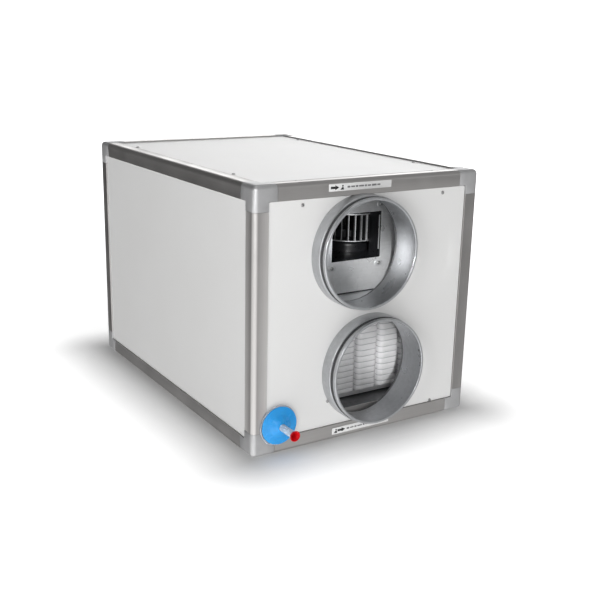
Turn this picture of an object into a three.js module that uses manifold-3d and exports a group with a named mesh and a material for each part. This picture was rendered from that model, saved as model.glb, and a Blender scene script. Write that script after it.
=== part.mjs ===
// Heat recovery unit: an aluminium-profile cabinet with sandwich panels. Each end has two
// round duct spigots, one above the other. Inside, a crossflow plate exchanger stands on its
// edge in the middle, a fan blows out of each upper chamber, and a bag filter cleans the air
// that enters each lower chamber. A condensate tray drains through the front panel.
//
// Millimetres, +Z up. The origin is the centre of the cabinet's underside. +X is to the right
// of somebody who faces the front, the end with the drain, and +Y runs to the rear.

import * as THREE from 'three';
import { mergeVertices } from 'three/addons/utils/BufferGeometryUtils.js';
import { RoundedBoxGeometry } from 'three/addons/geometries/RoundedBoxGeometry.js';
import Module from 'manifold-3d';

const wasm = await Module();
wasm.setup();

// Cabinet
const WIDTH = 590;
const LENGTH = 846;
const HEIGHT = 587;
const FLANGE = 35; // visible width of a frame profile on each face
const EDGE_RADIUS = 10.5; // outer rounding of profiles and corner pieces
const EDGE_STEPS = 3; // half the facets on that rounding
const CORNER_LEG = 55; // reach of a corner piece along each profile
const PROFILE_WALL = 2;
const PLUG_LENGTH = 18; // tongue of a corner piece inside a profile
const LIP = 18; // rebate lip that a panel is screwed against
const FIT_GAP = 0.3; // clearance between pieces that touch

// Panels
const PANEL_THICK = 30;
const PANEL_RECESS = 3.5; // step from the profile's face back to the panel's face
const PANEL_JOINT = 1; // gap all round a panel
const PANEL_RADIUS = 4;
const PANEL_BACK = PANEL_RECESS + PANEL_THICK;

// Duct spigots, for 250 mm duct
const COLLAR_RADIUS = 124.5;
const TUBE_RADIUS = 119.4;
const SHEET = 1.4; // wall of a spigot
const SPIGOT_REACH = 44; // how far the rim stands out from the profile's face
const COLLAR_REACH = 27;
const TUBE_INSIDE = 26; // how far the tube runs into the panel's hole
const SPIGOT_SIDES = 32;
const PORT_RADIUS = TUBE_RADIUS + 0.6; // hole in the panel
const UPPER_PORT = { x: -30, z: 429.5 };
const LOWER_PORT = { x: 5, z: 159.5 };

// Chambers
const INNER_X = 258.5; // half width of the plates inside the cabinet
const PLATE = 1.5; // galvanised sheet
const FLOOR_Z = 36.3; // lowest level inside, just over the profile lips
const CEILING_Z = 550.8; // highest level inside, just under the profile lips
const SHELF_Z = 295.5;
const BULKHEAD_Y = -303; // front face of the front fan plate

// Fan
const FAN_AXIS = { x: 100, y: -188 };
const IMPELLER_RADIUS = 73;
const IMPELLER_Z = 405.5;
const IMPELLER_HEIGHT = 67;
const BLADE_COUNT = 28;
const FAN_WALL = 3;
const FAN_FLOOR = 376; // inside of the fan casing
const FAN_TOP = 485;
const TONGUE_RADIUS = 81; // the scroll's radius where it starts
const TONGUE_ANGLE = -86;
const SCROLL_RADIUS = 123; // the scroll's radius where it opens into the outlet
const OUTLET_LEFT = FAN_AXIS.x - SCROLL_RADIUS;
const OUTLET_RIGHT = 106;
const OPENING_RIGHT = 114; // right edge of the opening in the fan plate
const FLANGE_LEFT = OUTLET_LEFT - 14; // outlet flange, behind the fan plate
const FLANGE_RIGHT = OPENING_RIGHT + 10;
const FLANGE_LOW = FAN_FLOOR - 21;
const FLANGE_HIGH = FAN_TOP + 25;
const INLET_RADIUS = 58;
const MOTOR_RADIUS = 50;

// Exchanger
const CORE_DIAGONAL = 152; // half of the core's diagonal
const CORE_Z = 292;
const CORE_X = 250;

// Filter
const FILTER_FRONT = -297;
const FILTER_LEFT = -206.5;
const FILTER_RIGHT = 254.5;
const FILTER_RIM = 3;
const POCKET_COUNT = 7;
const POCKET_DEPTH = 78;
const POCKET_GAP = 2.6; // half of the slit between two pockets
const POCKET_ROUND = 10;

// Condensate drain
const DRAIN = { x: -231, z: 67 };
const DRAIN_RADIUS = 8;
const DRAIN_REACH = 62;
const ROSETTE_RADIUS = 43;
const CAP_RADIUS = 12;
const TRAY_LENGTH = 160; // half length
const TRAY_WALL = 3;
const TRAY_FLOOR = 57; // the moulded tray is solid foam-backed plastic below this level
const TRAY_RIM = 90;

// Cable gland on the rear panel, as seen from behind
const GLAND = { x: 200, z: 330, thread: 10, nut: 14 };

const FRONT = -LENGTH / 2;
const LOOP = Math.PI * 2;

const material = (color, roughness, metalness) =>
  new THREE.MeshStandardMaterial({ color, roughness, metalness });

const ALUMINIUM = material(0x9a9895, 0.38, 0.9);
const CORNER_GREY = material(0xa9a8a5, 0.62, 0.35);
const WHITE_PAINT = material(0xe8e8e6, 0.45, 0.0);
const GALVANISED = material(0xb4b8ba, 0.35, 0.85);
const RUBBER = material(0x4a4b4c, 0.8, 0.0);
const BLACK_PLASTIC = material(0x191b1d, 0.42, 0.0);
const DARK_METAL = material(0x2b2d30, 0.4, 0.6);
const EXCHANGER_ALUMINIUM = material(0xc4c7c9, 0.3, 0.9);
const FILTER_CLOTH = material(0xe4e3e0, 0.95, 0.0);
const CLEAR_TUBE = material(0xd6e2ee, 0.3, 0.0);
const BLUE_PLASTIC = material(0x1b80d6, 0.4, 0.0);
const RED_PLASTIC = material(0xc5161f, 0.4, 0.0);
const GREY_PLASTIC = material(0x6b6e70, 0.6, 0.0);

const unit = new THREE.Group();

function addMesh(name, geometry, finish, parent = unit) {
  const mesh = new THREE.Mesh(geometry, finish);
  mesh.name = name;
  parent.add(mesh);
  return mesh;
}

// Solids: three.js geometry in, manifold solid out, and back again.

function toSolid(geometry) {
  const bare = geometry.clone();
  bare.deleteAttribute('normal');
  bare.deleteAttribute('uv');
  const merged = mergeVertices(bare, 1e-4);
  return new wasm.Manifold(new wasm.Mesh({
    numProp: 3,
    vertProperties: new Float32Array(merged.attributes.position.array),
    triVerts: new Uint32Array(merged.index.array),
  }));
}

function toGeometry(solid) {
  const mesh = solid.getMesh();
  const geometry = new THREE.BufferGeometry();
  geometry.setAttribute('position', new THREE.BufferAttribute(mesh.vertProperties, 3));
  geometry.setIndex(new THREE.BufferAttribute(mesh.triVerts, 1));
  geometry.computeVertexNormals();
  return geometry;
}

const join = (geometries) => geometries.map(toSolid).reduce((sum, next) => sum.add(next));

const carve = (body, cuts) => toGeometry(join(body).subtract(join(cuts)));

// Shapes

function block(low, high) {
  const size = high.map((value, i) => value - low[i]);
  const centre = high.map((value, i) => (value + low[i]) / 2);
  return new THREE.BoxGeometry(...size).translate(...centre);
}

function prism(shape, bottom, top, curveSegments = 12) {
  const options = { depth: top - bottom, bevelEnabled: false, curveSegments };
  return new THREE.ExtrudeGeometry(shape, options).translate(0, 0, bottom);
}

// A profile of [radius, height] pairs turned about the vertical axis.
function turned(profile, sides) {
  const points = profile.map(([radius, height]) => new THREE.Vector2(radius, height));
  return new THREE.LatheGeometry(points, sides).rotateX(Math.PI / 2);
}

const disc = (radius, bottom, top, sides = 32) =>
  turned([[0, bottom], [radius, bottom], [radius, top], [0, top]], sides);

const polygon = (points) => new THREE.Shape(points.map(([x, y]) => new THREE.Vector2(x, y)));

function circleHole(x, y, radius, sides) {
  const turns = Array.from({ length: sides }, (_, i) => (-LOOP * i) / sides);
  const points = turns.map((turn) => new THREE.Vector2(
    x + radius * Math.cos(turn), y + radius * Math.sin(turn)));
  return new THREE.Path().setFromPoints(points);
}

function roundedRectangle(width, height, radius) {
  const [x, y] = [width / 2, height / 2];
  const shape = new THREE.Shape();
  shape.moveTo(radius - x, -y);
  shape.lineTo(x - radius, -y);
  shape.absarc(x - radius, radius - y, radius, -Math.PI / 2, 0);
  shape.lineTo(x, y - radius);
  shape.absarc(x - radius, y - radius, radius, 0, Math.PI / 2);
  shape.lineTo(radius - x, y);
  shape.absarc(radius - x, y - radius, radius, Math.PI / 2, Math.PI);
  shape.lineTo(-x, radius - y);
  shape.absarc(radius - x, radius - y, radius, Math.PI, Math.PI * 1.5);
  return shape;
}

// Placing: a mesh's own x, y and z run along the three given directions.

const AXES = [new THREE.Vector3(1, 0, 0), new THREE.Vector3(0, 1, 0), new THREE.Vector3(0, 0, 1)];
const HALF = [WIDTH / 2, LENGTH / 2, HEIGHT / 2];
const CENTRE = new THREE.Vector3(0, 0, HEIGHT / 2);

function place(mesh, position, u, v, w) {
  mesh.quaternion.setFromRotationMatrix(new THREE.Matrix4().makeBasis(u, v, w));
  mesh.position.copy(position);
}

// Frame: twelve hollow profiles and eight corner pieces.

// Section of a profile. Its two outer faces lie on u = 0 and v = 0, and two lips at the back
// form the rebates that the panels rest in.
function profileSection() {
  const lipBack = PANEL_BACK + FIT_GAP + PROFILE_WALL;
  const lipFront = PANEL_BACK + FIT_GAP;
  const lipEnd = FLANGE + LIP;
  const shape = new THREE.Shape();
  shape.moveTo(EDGE_RADIUS, 0);
  shape.lineTo(FLANGE, 0);
  shape.lineTo(FLANGE, lipFront);
  shape.lineTo(lipEnd, lipFront);
  shape.lineTo(lipEnd, lipBack);
  shape.lineTo(lipBack, lipBack);
  shape.lineTo(lipBack, lipEnd);
  shape.lineTo(lipFront, lipEnd);
  shape.lineTo(lipFront, FLANGE);
  shape.lineTo(0, FLANGE);
  shape.lineTo(0, EDGE_RADIUS);
  shape.absarc(EDGE_RADIUS, EDGE_RADIUS, EDGE_RADIUS, Math.PI, Math.PI * 1.5);
  const [near, far] = [PROFILE_WALL, FLANGE - PROFILE_WALL];
  const round = EDGE_RADIUS - PROFILE_WALL;
  const hollow = new THREE.Path();
  hollow.moveTo(near, near + round);
  hollow.lineTo(near, far);
  hollow.lineTo(far, far);
  hollow.lineTo(far, near);
  hollow.lineTo(near + round, near);
  hollow.absarc(near + round, near + round, round, Math.PI * 1.5, Math.PI, true);
  shape.holes.push(hollow);
  return shape;
}

// A profile along axis `along`, on the edge that lies on side `signA` of the first other axis
// and side `signB` of the second.
function addProfile(name, along, signA, signB) {
  const [a, b] = [0, 1, 2].filter((axis) => axis !== along);
  const u = AXES[a].clone().multiplyScalar(-signA);
  const v = AXES[b].clone().multiplyScalar(-signB);
  const w = u.clone().cross(v);
  const length = HALF[along] * 2 - 2 * (CORNER_LEG + FIT_GAP);
  const mesh = addMesh(name, prism(profileSection(), 0, length, EDGE_STEPS), ALUMINIUM);
  const start = CENTRE.clone()
    .addScaledVector(u, -HALF[a])
    .addScaledVector(v, -HALF[b])
    .addScaledVector(w, -length / 2);
  place(mesh, start, u, v, w);
}

// Corner piece: three legs that continue the profiles, and a tongue inside each profile.
function cornerGeometry() {
  const reach = CORNER_LEG + PLUG_LENGTH;
  const [tongueLow, tongueHigh] = [PROFILE_WALL + 4, FLANGE - PROFILE_WALL - 1.4];
  const legs = [0, 1, 2].map((axis) =>
    block([0, 0, 0], [0, 1, 2].map((i) => (i === axis ? CORNER_LEG : FLANGE))));
  const tongues = [0, 1, 2].map((axis) => block(
    [0, 1, 2].map((i) => (i === axis ? CORNER_LEG - FLANGE : tongueLow)),
    [0, 1, 2].map((i) => (i === axis ? reach : tongueHigh))));
  const size = 2 * reach;
  const rounded = new RoundedBoxGeometry(size, size, size, EDGE_STEPS, EDGE_RADIUS)
    .translate(reach, reach, reach);
  return toGeometry(join(legs).intersect(toSolid(rounded)).add(join(tongues)));
}

function addCorner(name, geometry, signs) {
  const inward = AXES.map((axis, i) => axis.clone().multiplyScalar(-signs[i]));
  const corner = CENTRE.clone();
  inward.forEach((direction, i) => corner.addScaledVector(direction, -HALF[i]));
  const leftHanded = signs[0] * signs[1] * signs[2] > 0;
  const [u, v, w] = leftHanded ? [inward[1], inward[0], inward[2]] : inward;
  place(addMesh(name, geometry, CORNER_GREY), corner, u, v, w);
}

function addFrame() {
  const sides = [['left', -1], ['right', 1]];
  const ends = [['front', -1], ['back', 1]];
  const levels = [['bottom', -1], ['top', 1]];
  const corner = cornerGeometry();
  for (const [levelName, level] of levels) {
    for (const [endName, end] of ends) {
      addProfile(`rail_${levelName}_${endName}`, 0, end, level);
    }
    for (const [sideName, side] of sides) {
      addProfile(`rail_${levelName}_${sideName}`, 1, side, level);
    }
  }
  for (const [endName, end] of ends) {
    for (const [sideName, side] of sides) {
      addProfile(`post_${endName}_${sideName}`, 2, side, end);
      for (const [levelName, level] of levels) {
        addCorner(`corner_${levelName}_${endName}_${sideName}`, corner, [side, end, level]);
      }
    }
  }
}

// Panels: bonded sandwich panels in the frame's rebates.

function addPanel(name, width, height, position, u, v, holes = [], recess = PANEL_RECESS) {
  const clear = 2 * (FLANGE + PANEL_JOINT);
  const shape = roundedRectangle(width - clear, height - clear, PANEL_RADIUS);
  shape.holes.push(...holes);
  const geometry = prism(shape, -PANEL_BACK, -recess, 2);
  place(addMesh(name, geometry, WHITE_PAINT), position, u, v, u.clone().cross(v));
}

// Holes of an end panel, seen from outside that end.
function portHoles() {
  return [UPPER_PORT, LOWER_PORT].map(
    ({ x, z }) => circleHole(x, z - HEIGHT / 2, PORT_RADIUS, SPIGOT_SIDES));
}

function addPanels() {
  const [x, y, z] = AXES;
  const [minusX, minusY] = [x.clone().negate(), y.clone().negate()];
  const middle = HEIGHT / 2;
  const drainHole = circleHole(DRAIN.x, DRAIN.z - middle, DRAIN_RADIUS + 1, 20);
  const glandHole = circleHole(GLAND.x, GLAND.z - middle, GLAND.thread + 0.5, 20);
  const at = (px, py, pz) => new THREE.Vector3(px, py, pz);
  addPanel('panel_left', LENGTH, HEIGHT, at(-WIDTH / 2, 0, middle), minusY, z);
  addPanel('panel_right', LENGTH, HEIGHT, at(WIDTH / 2, 0, middle), y, z);
  addPanel('panel_top', WIDTH, LENGTH, at(0, 0, HEIGHT), x, y);
  addPanel('panel_bottom', WIDTH, LENGTH, at(0, 0, 0), minusX, y, [], 0);
  addPanel('panel_front', WIDTH, HEIGHT, at(0, FRONT, middle), x, z, [...portHoles(), drainHole]);
  addPanel('panel_back', WIDTH, HEIGHT, at(0, -FRONT, middle), minusX, z,
    [...portHoles(), glandHole]);
}

// Duct spigots: a rolled tube through the panel, an outer collar folded back over it, a groove
// for the seal and a rolled rim. Heights are measured outwards from the profile's face.

function spigotProfile() {
  const bore = TUBE_RADIUS - SHEET;
  const collarBore = COLLAR_RADIUS - SHEET;
  const foot = -PANEL_RECESS + FIT_GAP;
  const inside = -TUBE_INSIDE;
  return [
    [bore, inside], [TUBE_RADIUS, inside],
    [TUBE_RADIUS, COLLAR_REACH - 2.5], [collarBore, COLLAR_REACH - 2.5],
    [collarBore, foot], [COLLAR_RADIUS, foot],
    [COLLAR_RADIUS, COLLAR_REACH - 1.5], [COLLAR_RADIUS - 1, COLLAR_REACH],
    [TUBE_RADIUS + 0.8, COLLAR_REACH], [TUBE_RADIUS + 0.8, SPIGOT_REACH - 3.5],
    [TUBE_RADIUS + 2.4, SPIGOT_REACH - 2.6], [TUBE_RADIUS + 2.4, SPIGOT_REACH - 0.9],
    [TUBE_RADIUS + 1.4, SPIGOT_REACH], [bore + 0.8, SPIGOT_REACH],
    [bore, SPIGOT_REACH - 1.2], [bore, inside],
  ];
}

function sealProfile() {
  const base = TUBE_RADIUS + 1.1;
  return [
    [base, COLLAR_REACH + 0.8], [base + 2.8, COLLAR_REACH + 1.4],
    [base + 1.2, COLLAR_REACH + 9.6], [base, COLLAR_REACH + 9.6], [base, COLLAR_REACH + 0.8],
  ];
}

// The turned shapes point up, so this lays them down to point out of the front.
const outOfFront = (geometry, port) =>
  geometry.rotateX(Math.PI / 2).translate(port.x, FRONT, port.z);

// The upper collar is relieved where it crosses the top rail.
function spigotGeometry(port) {
  const spigot = outOfFront(turned(spigotProfile(), SPIGOT_SIDES), port);
  const railEdge = HEIGHT - FLANGE - FIT_GAP;
  if (port.z + COLLAR_RADIUS < railEdge) {
    return spigot;
  }
  const relief = block(
    [port.x - COLLAR_RADIUS, FRONT - FIT_GAP, railEdge],
    [port.x + COLLAR_RADIUS, FRONT + PANEL_RECESS, HEIGHT]);
  return carve([spigot], [relief]);
}

function addSpigots(end, name) {
  for (const [level, port] of [['upper', UPPER_PORT], ['lower', LOWER_PORT]]) {
    addMesh(`spigot_${name}_${level}`, spigotGeometry(port), GALVANISED, end);
    const seal = outOfFront(turned(sealProfile(), SPIGOT_SIDES), port);
    addMesh(`seal_${name}_${level}`, seal, RUBBER, end);
  }
}

// Fan: a scroll casing with an outlet flange, a drum impeller on an upright axis, a motor.

// Scroll outline about the fan's axis, `grow` outside the air passage.
function scrollShape(grow) {
  const points = [];
  for (let angle = TONGUE_ANGLE; angle <= 180; angle += 14) {
    const share = (angle - TONGUE_ANGLE) / (180 - TONGUE_ANGLE);
    const radius = TONGUE_RADIUS + (SCROLL_RADIUS - TONGUE_RADIUS) * share + grow;
    const turn = THREE.MathUtils.degToRad(angle);
    points.push([FAN_AXIS.x + radius * Math.cos(turn), FAN_AXIS.y + radius * Math.sin(turn)]);
  }
  points.push([OUTLET_LEFT - grow, FAN_AXIS.y]);
  return polygon(points);
}

const atFan = (geometry) => geometry.translate(FAN_AXIS.x, FAN_AXIS.y, 0);

function fanCasing() {
  const flangeY = BULKHEAD_Y + PLATE + FIT_GAP;
  const [bottom, top] = [FAN_FLOOR - FAN_WALL, FAN_TOP + FAN_WALL];
  const nozzleBottom = IMPELLER_Z + IMPELLER_HEIGHT + 3;
  const body = [
    prism(scrollShape(FAN_WALL), bottom, top),
    block([OUTLET_LEFT - FAN_WALL, flangeY, bottom], [OUTLET_RIGHT + FAN_WALL, FAN_AXIS.y, top]),
    block([FLANGE_LEFT, flangeY, FLANGE_LOW], [FLANGE_RIGHT, flangeY + FAN_WALL, FLANGE_HIGH]),
  ];
  const air = [
    prism(scrollShape(0), FAN_FLOOR, FAN_TOP),
    block([OUTLET_LEFT, flangeY - 1, FAN_FLOOR], [OUTLET_RIGHT, FAN_AXIS.y, FAN_TOP]),
    atFan(disc(MOTOR_RADIUS + 0.6, bottom - 1, FAN_FLOOR + 1)),
    atFan(disc(INLET_RADIUS, FAN_TOP - 1, top + 1)),
  ];
  const nozzle = atFan(turned([
    [INLET_RADIUS, nozzleBottom], [INLET_RADIUS + 2, nozzleBottom],
    [INLET_RADIUS + 2, top], [INLET_RADIUS, top], [INLET_RADIUS, nozzleBottom],
  ], 32));
  return toGeometry(join(body).subtract(join(air)).add(toSolid(nozzle)));
}

// A forward-curved blade: a thin crescent between two arcs, standing on the back plate.
function bladeShape() {
  const steps = [0, 0.5, 1];
  const side = (offset) => steps.map((step) => [
    IMPELLER_RADIUS - 1 - 14 * (1 - step),
    offset + 6 * step * step,
  ]);
  return polygon([...side(-0.7), ...side(0.7).reverse()]);
}

function impellerGeometry() {
  const ringBottom = IMPELLER_HEIGHT - 3;
  const parts = [
    turned([[0, 0], [IMPELLER_RADIUS, 0], [IMPELLER_RADIUS, 2.5], [42, 2.5], [36, 24], [0, 24]],
      28),
    turned([
      [IMPELLER_RADIUS - 8, ringBottom], [IMPELLER_RADIUS, ringBottom],
      [IMPELLER_RADIUS, IMPELLER_HEIGHT], [IMPELLER_RADIUS - 8, IMPELLER_HEIGHT],
      [IMPELLER_RADIUS - 8, ringBottom],
    ], 28),
  ];
  for (let i = 0; i < BLADE_COUNT; i += 1) {
    parts.push(prism(bladeShape(), 1, ringBottom + 1.5).rotateZ((LOOP * i) / BLADE_COUNT));
  }
  return toGeometry(join(parts)).translate(0, 0, IMPELLER_Z);
}

function motorGeometry() {
  const bottom = FAN_FLOOR - 14;
  const flange = FAN_FLOOR - FAN_WALL - FIT_GAP;
  return turned([
    [0, bottom], [MOTOR_RADIUS - 4, bottom], [MOTOR_RADIUS, bottom + 3],
    [MOTOR_RADIUS + 8, flange - 3], [MOTOR_RADIUS + 8, flange], [MOTOR_RADIUS, flange],
    [MOTOR_RADIUS, IMPELLER_Z - 6], [MOTOR_RADIUS - 5, IMPELLER_Z - 1.5],
    [0, IMPELLER_Z - 1.5],
  ], 24);
}

function addFan(end, name) {
  addMesh(`fan_${name}_casing`, fanCasing(), BLACK_PLASTIC, end);
  addMesh(`fan_${name}_impeller`, atFan(impellerGeometry()), DARK_METAL, end);
  addMesh(`fan_${name}_motor`, atFan(motorGeometry()), BLACK_PLASTIC, end);
}

// Sheet-metal plates: the fan plate, the shelf between the chambers and the filter's side plate.

function addPlates(end, name, pipeRadius) {
  const fanPlate = carve(
    [block([-INNER_X, BULKHEAD_Y, SHELF_Z + PLATE + FIT_GAP],
      [INNER_X, BULKHEAD_Y + PLATE, CEILING_Z])],
    [block([OUTLET_LEFT, BULKHEAD_Y - 1, FAN_FLOOR],
      [OPENING_RIGHT, BULKHEAD_Y + PLATE + 1, FAN_TOP])]);
  addMesh(`fan_plate_${name}`, fanPlate, GALVANISED, end);

  const shelfFront = FRONT + PANEL_BACK + PROFILE_WALL + 1;
  const shelf = block([-INNER_X, shelfFront, SHELF_Z],
    [INNER_X, -CORE_DIAGONAL - 6, SHELF_Z + PLATE]);
  addMesh(`shelf_${name}`, shelf, GALVANISED, end);

  const closure = block([-INNER_X, FILTER_FRONT, FLOOR_Z],
    [FILTER_LEFT - 1, FILTER_FRONT + PLATE, SHELF_Z - FIT_GAP]);
  const pipeHole = disc(pipeRadius, -5, 5, 24).rotateX(Math.PI / 2)
    .translate(DRAIN.x, FILTER_FRONT, DRAIN.z);
  const closureGeometry = pipeRadius > 0 ? carve([closure], [pipeHole]) : closure;
  addMesh(`filter_closure_${name}`, closureGeometry, GALVANISED, end);
}

// Bag filter: a thin frame, and cloth pockets whose rounded ends face the spigot.

function pocketOutline() {
  const left = FILTER_LEFT + FILTER_RIM + FIT_GAP;
  const pitch = (FILTER_RIGHT - FILTER_RIM - FIT_GAP - left) / POCKET_COUNT;
  const [front, back] = [FILTER_FRONT + 1, FILTER_FRONT + POCKET_DEPTH];
  const points = [[left, back + 8]];
  for (let i = 0; i < POCKET_COUNT; i += 1) {
    const [x0, x1] = [left + i * pitch + POCKET_GAP, left + (i + 1) * pitch - POCKET_GAP];
    points.push([x0, back]);
    for (const share of [0, 0.33, 0.67, 1]) {
      const turn = (share * Math.PI) / 2;
      points.push([
        x0 + POCKET_ROUND * (1 - Math.cos(turn)),
        front + POCKET_ROUND * (1 - Math.sin(turn)),
      ]);
    }
    for (const share of [1, 0.67, 0.33, 0]) {
      const turn = (share * Math.PI) / 2;
      points.push([
        x1 - POCKET_ROUND * (1 - Math.cos(turn)),
        front + POCKET_ROUND * (1 - Math.sin(turn)),
      ]);
    }
    points.push([x1, back]);
  }
  points.push([left + POCKET_COUNT * pitch, back + 8]);
  return polygon(points);
}

function addFilter(end, name) {
  const top = SHELF_Z - FIT_GAP;
  const frame = carve(
    [block([FILTER_LEFT, FILTER_FRONT, FLOOR_Z], [FILTER_RIGHT, FILTER_FRONT + 48, top])],
    [block([FILTER_LEFT + FILTER_RIM, FILTER_FRONT - 1, FLOOR_Z + FILTER_RIM],
      [FILTER_RIGHT - FILTER_RIM, FILTER_FRONT + 49, top - FILTER_RIM])]);
  addMesh(`filter_${name}_frame`, frame, GALVANISED, end);
  const pockets = prism(pocketOutline(),
    FLOOR_Z + FILTER_RIM + FIT_GAP, top - FILTER_RIM - FIT_GAP);
  addMesh(`filter_${name}_pockets`, pockets, FILTER_CLOTH, end);
}

// Exchanger: a square stack of plates on its edge, an end plate on each side of it, and a
// partition above and below it that keeps the front and rear chambers apart.

function diamond(half, cut) {
  return polygon([
    [half, -cut], [half, cut], [cut, half], [-cut, half],
    [-half, cut], [-half, -cut], [-cut, -half], [cut, -half],
  ]);
}

// A prism across the cabinet: its outline's x runs along Y and its y runs up.
const across = (geometry) => geometry.rotateX(Math.PI / 2).rotateZ(Math.PI / 2);

function addExchanger() {
  const core = across(prism(diamond(CORE_DIAGONAL, 3), -CORE_X, CORE_X)).translate(0, 0, CORE_Z);
  addMesh('exchanger_core', core, EXCHANGER_ALUMINIUM);
  for (const [name, from, to] of [
    ['left', -CORE_X - 7, -CORE_X - FIT_GAP], ['right', CORE_X + FIT_GAP, CORE_X + 7],
  ]) {
    const plate = across(prism(diamond(CORE_DIAGONAL + 4, 8), from, to)).translate(0, 0, CORE_Z);
    addMesh(`exchanger_end_${name}`, plate, GALVANISED);
  }
  const [below, above] = [CORE_Z - CORE_DIAGONAL - 5, CORE_Z + CORE_DIAGONAL + 5];
  addMesh('partition_lower', block([-CORE_X + 4, -PLATE / 2, TRAY_FLOOR + FIT_GAP],
    [CORE_X - 4, PLATE / 2, below]), GALVANISED);
  addMesh('partition_upper', block([-INNER_X, -PLATE / 2, above],
    [INNER_X, PLATE / 2, CEILING_Z]), GALVANISED);
}

// Condensate tray with its pipe, the rosette that covers the pipe's hole, and the cap.

function addDrain() {
  const tray = carve(
    [block([-CORE_X, -TRAY_LENGTH, FLOOR_Z], [CORE_X, TRAY_LENGTH, TRAY_RIM])],
    [
      block([-CORE_X + TRAY_WALL, -TRAY_LENGTH + TRAY_WALL, TRAY_FLOOR],
        [CORE_X - TRAY_WALL, TRAY_LENGTH - TRAY_WALL, TRAY_RIM + 1]),
      disc(DRAIN_RADIUS + FIT_GAP, -TRAY_WALL - 1, 1, 24).rotateX(Math.PI / 2)
        .translate(DRAIN.x, -TRAY_LENGTH, DRAIN.z),
    ]);
  addMesh('condensate_tray', tray, GREY_PLASTIC);

  const pipeEnd = FRONT + TRAY_LENGTH - TRAY_WALL - 1;
  const pipeBore = DRAIN_RADIUS - 1.5;
  addMesh('drain_pipe', outOfFront(turned([
    [pipeBore, pipeEnd], [DRAIN_RADIUS, pipeEnd], [DRAIN_RADIUS, DRAIN_REACH],
    [pipeBore, DRAIN_REACH], [pipeBore, pipeEnd],
  ], 24), DRAIN), CLEAR_TUBE);

  const collar = DRAIN_RADIUS + FIT_GAP;
  addMesh('drain_rosette', outOfFront(turned([
    [collar, 12], [ROSETTE_RADIUS - 1, 3.5], [ROSETTE_RADIUS, 4.5], [ROSETTE_RADIUS, 6],
    [ROSETTE_RADIUS - 1, 6.6], [20, 13], [collar + 3.5, 16], [collar + 2, 19],
    [collar, 19], [collar, 12],
  ], 30), DRAIN), BLUE_PLASTIC);

  const tip = DRAIN_REACH;
  addMesh('drain_cap', outOfFront(turned([
    [0, tip - 10], [5.5, tip - 10], [5.5, tip + FIT_GAP], [9, tip + FIT_GAP],
    [CAP_RADIUS, tip + 8], [CAP_RADIUS - 3, tip + 8], [5, tip + 1.5], [0, tip + 1.5],
  ], 12), DRAIN), RED_PLASTIC);
}

// Cable gland for the supply cord, on the rear panel.
function addGland() {
  const outer = -PANEL_RECESS + FIT_GAP;
  const body = turned([
    [5.5, -PANEL_BACK - 4], [GLAND.thread, -PANEL_BACK - 4], [GLAND.thread, outer],
    [GLAND.nut, outer], [GLAND.nut, outer + 6], [GLAND.nut - 1.5, outer + 7],
    [GLAND.nut - 2, outer + 14], [7.5, outer + 19], [5.5, outer + 19], [5.5, -PANEL_BACK - 4],
  ], 18);
  const mesh = addMesh('cable_gland', outOfFront(body, GLAND), GREY_PLASTIC);
  mesh.rotation.z = Math.PI;
}

addFrame();
addPanels();

// Both ends are the same, one turned half round against the other.
for (const [name, turn, pipeHole] of [['front', 0, DRAIN_RADIUS + 1], ['back', Math.PI, 0]]) {
  const end = new THREE.Group();
  end.rotation.z = turn;
  unit.add(end);
  addSpigots(end, name);
  addFan(end, name);
  addPlates(end, name, pipeHole);
  addFilter(end, name);
}

addExchanger();
addDrain();
addGland();

export default unit;
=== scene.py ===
"""Looks of the heat recovery unit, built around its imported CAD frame.

Metres, +Z up. The origin is the centre of the cabinet's underside, +X is to the right of somebody
who faces the front, and +Y runs to the rear. "Out" is the distance outwards from a cabinet face.
"""

import math

import bmesh
import bpy
from mathutils import Matrix, Vector, noise


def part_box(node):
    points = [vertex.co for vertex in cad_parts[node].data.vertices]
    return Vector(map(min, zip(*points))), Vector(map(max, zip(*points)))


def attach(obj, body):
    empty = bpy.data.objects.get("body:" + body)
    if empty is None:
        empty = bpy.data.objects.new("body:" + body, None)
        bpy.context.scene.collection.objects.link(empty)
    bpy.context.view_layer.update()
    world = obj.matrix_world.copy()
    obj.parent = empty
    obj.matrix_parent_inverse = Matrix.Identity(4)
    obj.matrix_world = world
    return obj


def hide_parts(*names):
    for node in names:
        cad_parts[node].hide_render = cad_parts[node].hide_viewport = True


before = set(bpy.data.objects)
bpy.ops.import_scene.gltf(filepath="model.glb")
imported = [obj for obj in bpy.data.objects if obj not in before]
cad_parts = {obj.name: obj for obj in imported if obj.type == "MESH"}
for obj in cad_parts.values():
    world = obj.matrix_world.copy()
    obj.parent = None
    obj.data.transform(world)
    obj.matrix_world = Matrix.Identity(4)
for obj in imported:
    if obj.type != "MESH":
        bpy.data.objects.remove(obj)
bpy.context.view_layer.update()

MM = 0.001
TINY = 1e-6

# Cabinet, from the frame
CABINET_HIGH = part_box("corner_top_back_right")[1]
HALF_WIDTH = CABINET_HIGH.x
HALF_LENGTH = CABINET_HIGH.y
HEIGHT = CABINET_HIGH.z
HALF = (HALF_WIDTH, HALF_LENGTH, HEIGHT / 2)
CENTRE = Vector((0, 0, HEIGHT / 2))

# Profiles and corner pieces
EDGE_RADIUS = 10.5 * MM
FLANGE = 35 * MM
CORNER_LEG = 55 * MM
PROFILE_WALL = 2 * MM
LIP = 18 * MM
FIT_GAP = 0.3 * MM
PANEL_JOINT = 1 * MM
PANEL_RECESS = 3.5 * MM
PANEL_BACK = 33.5 * MM
PANEL_RADIUS = 4 * MM

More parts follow.
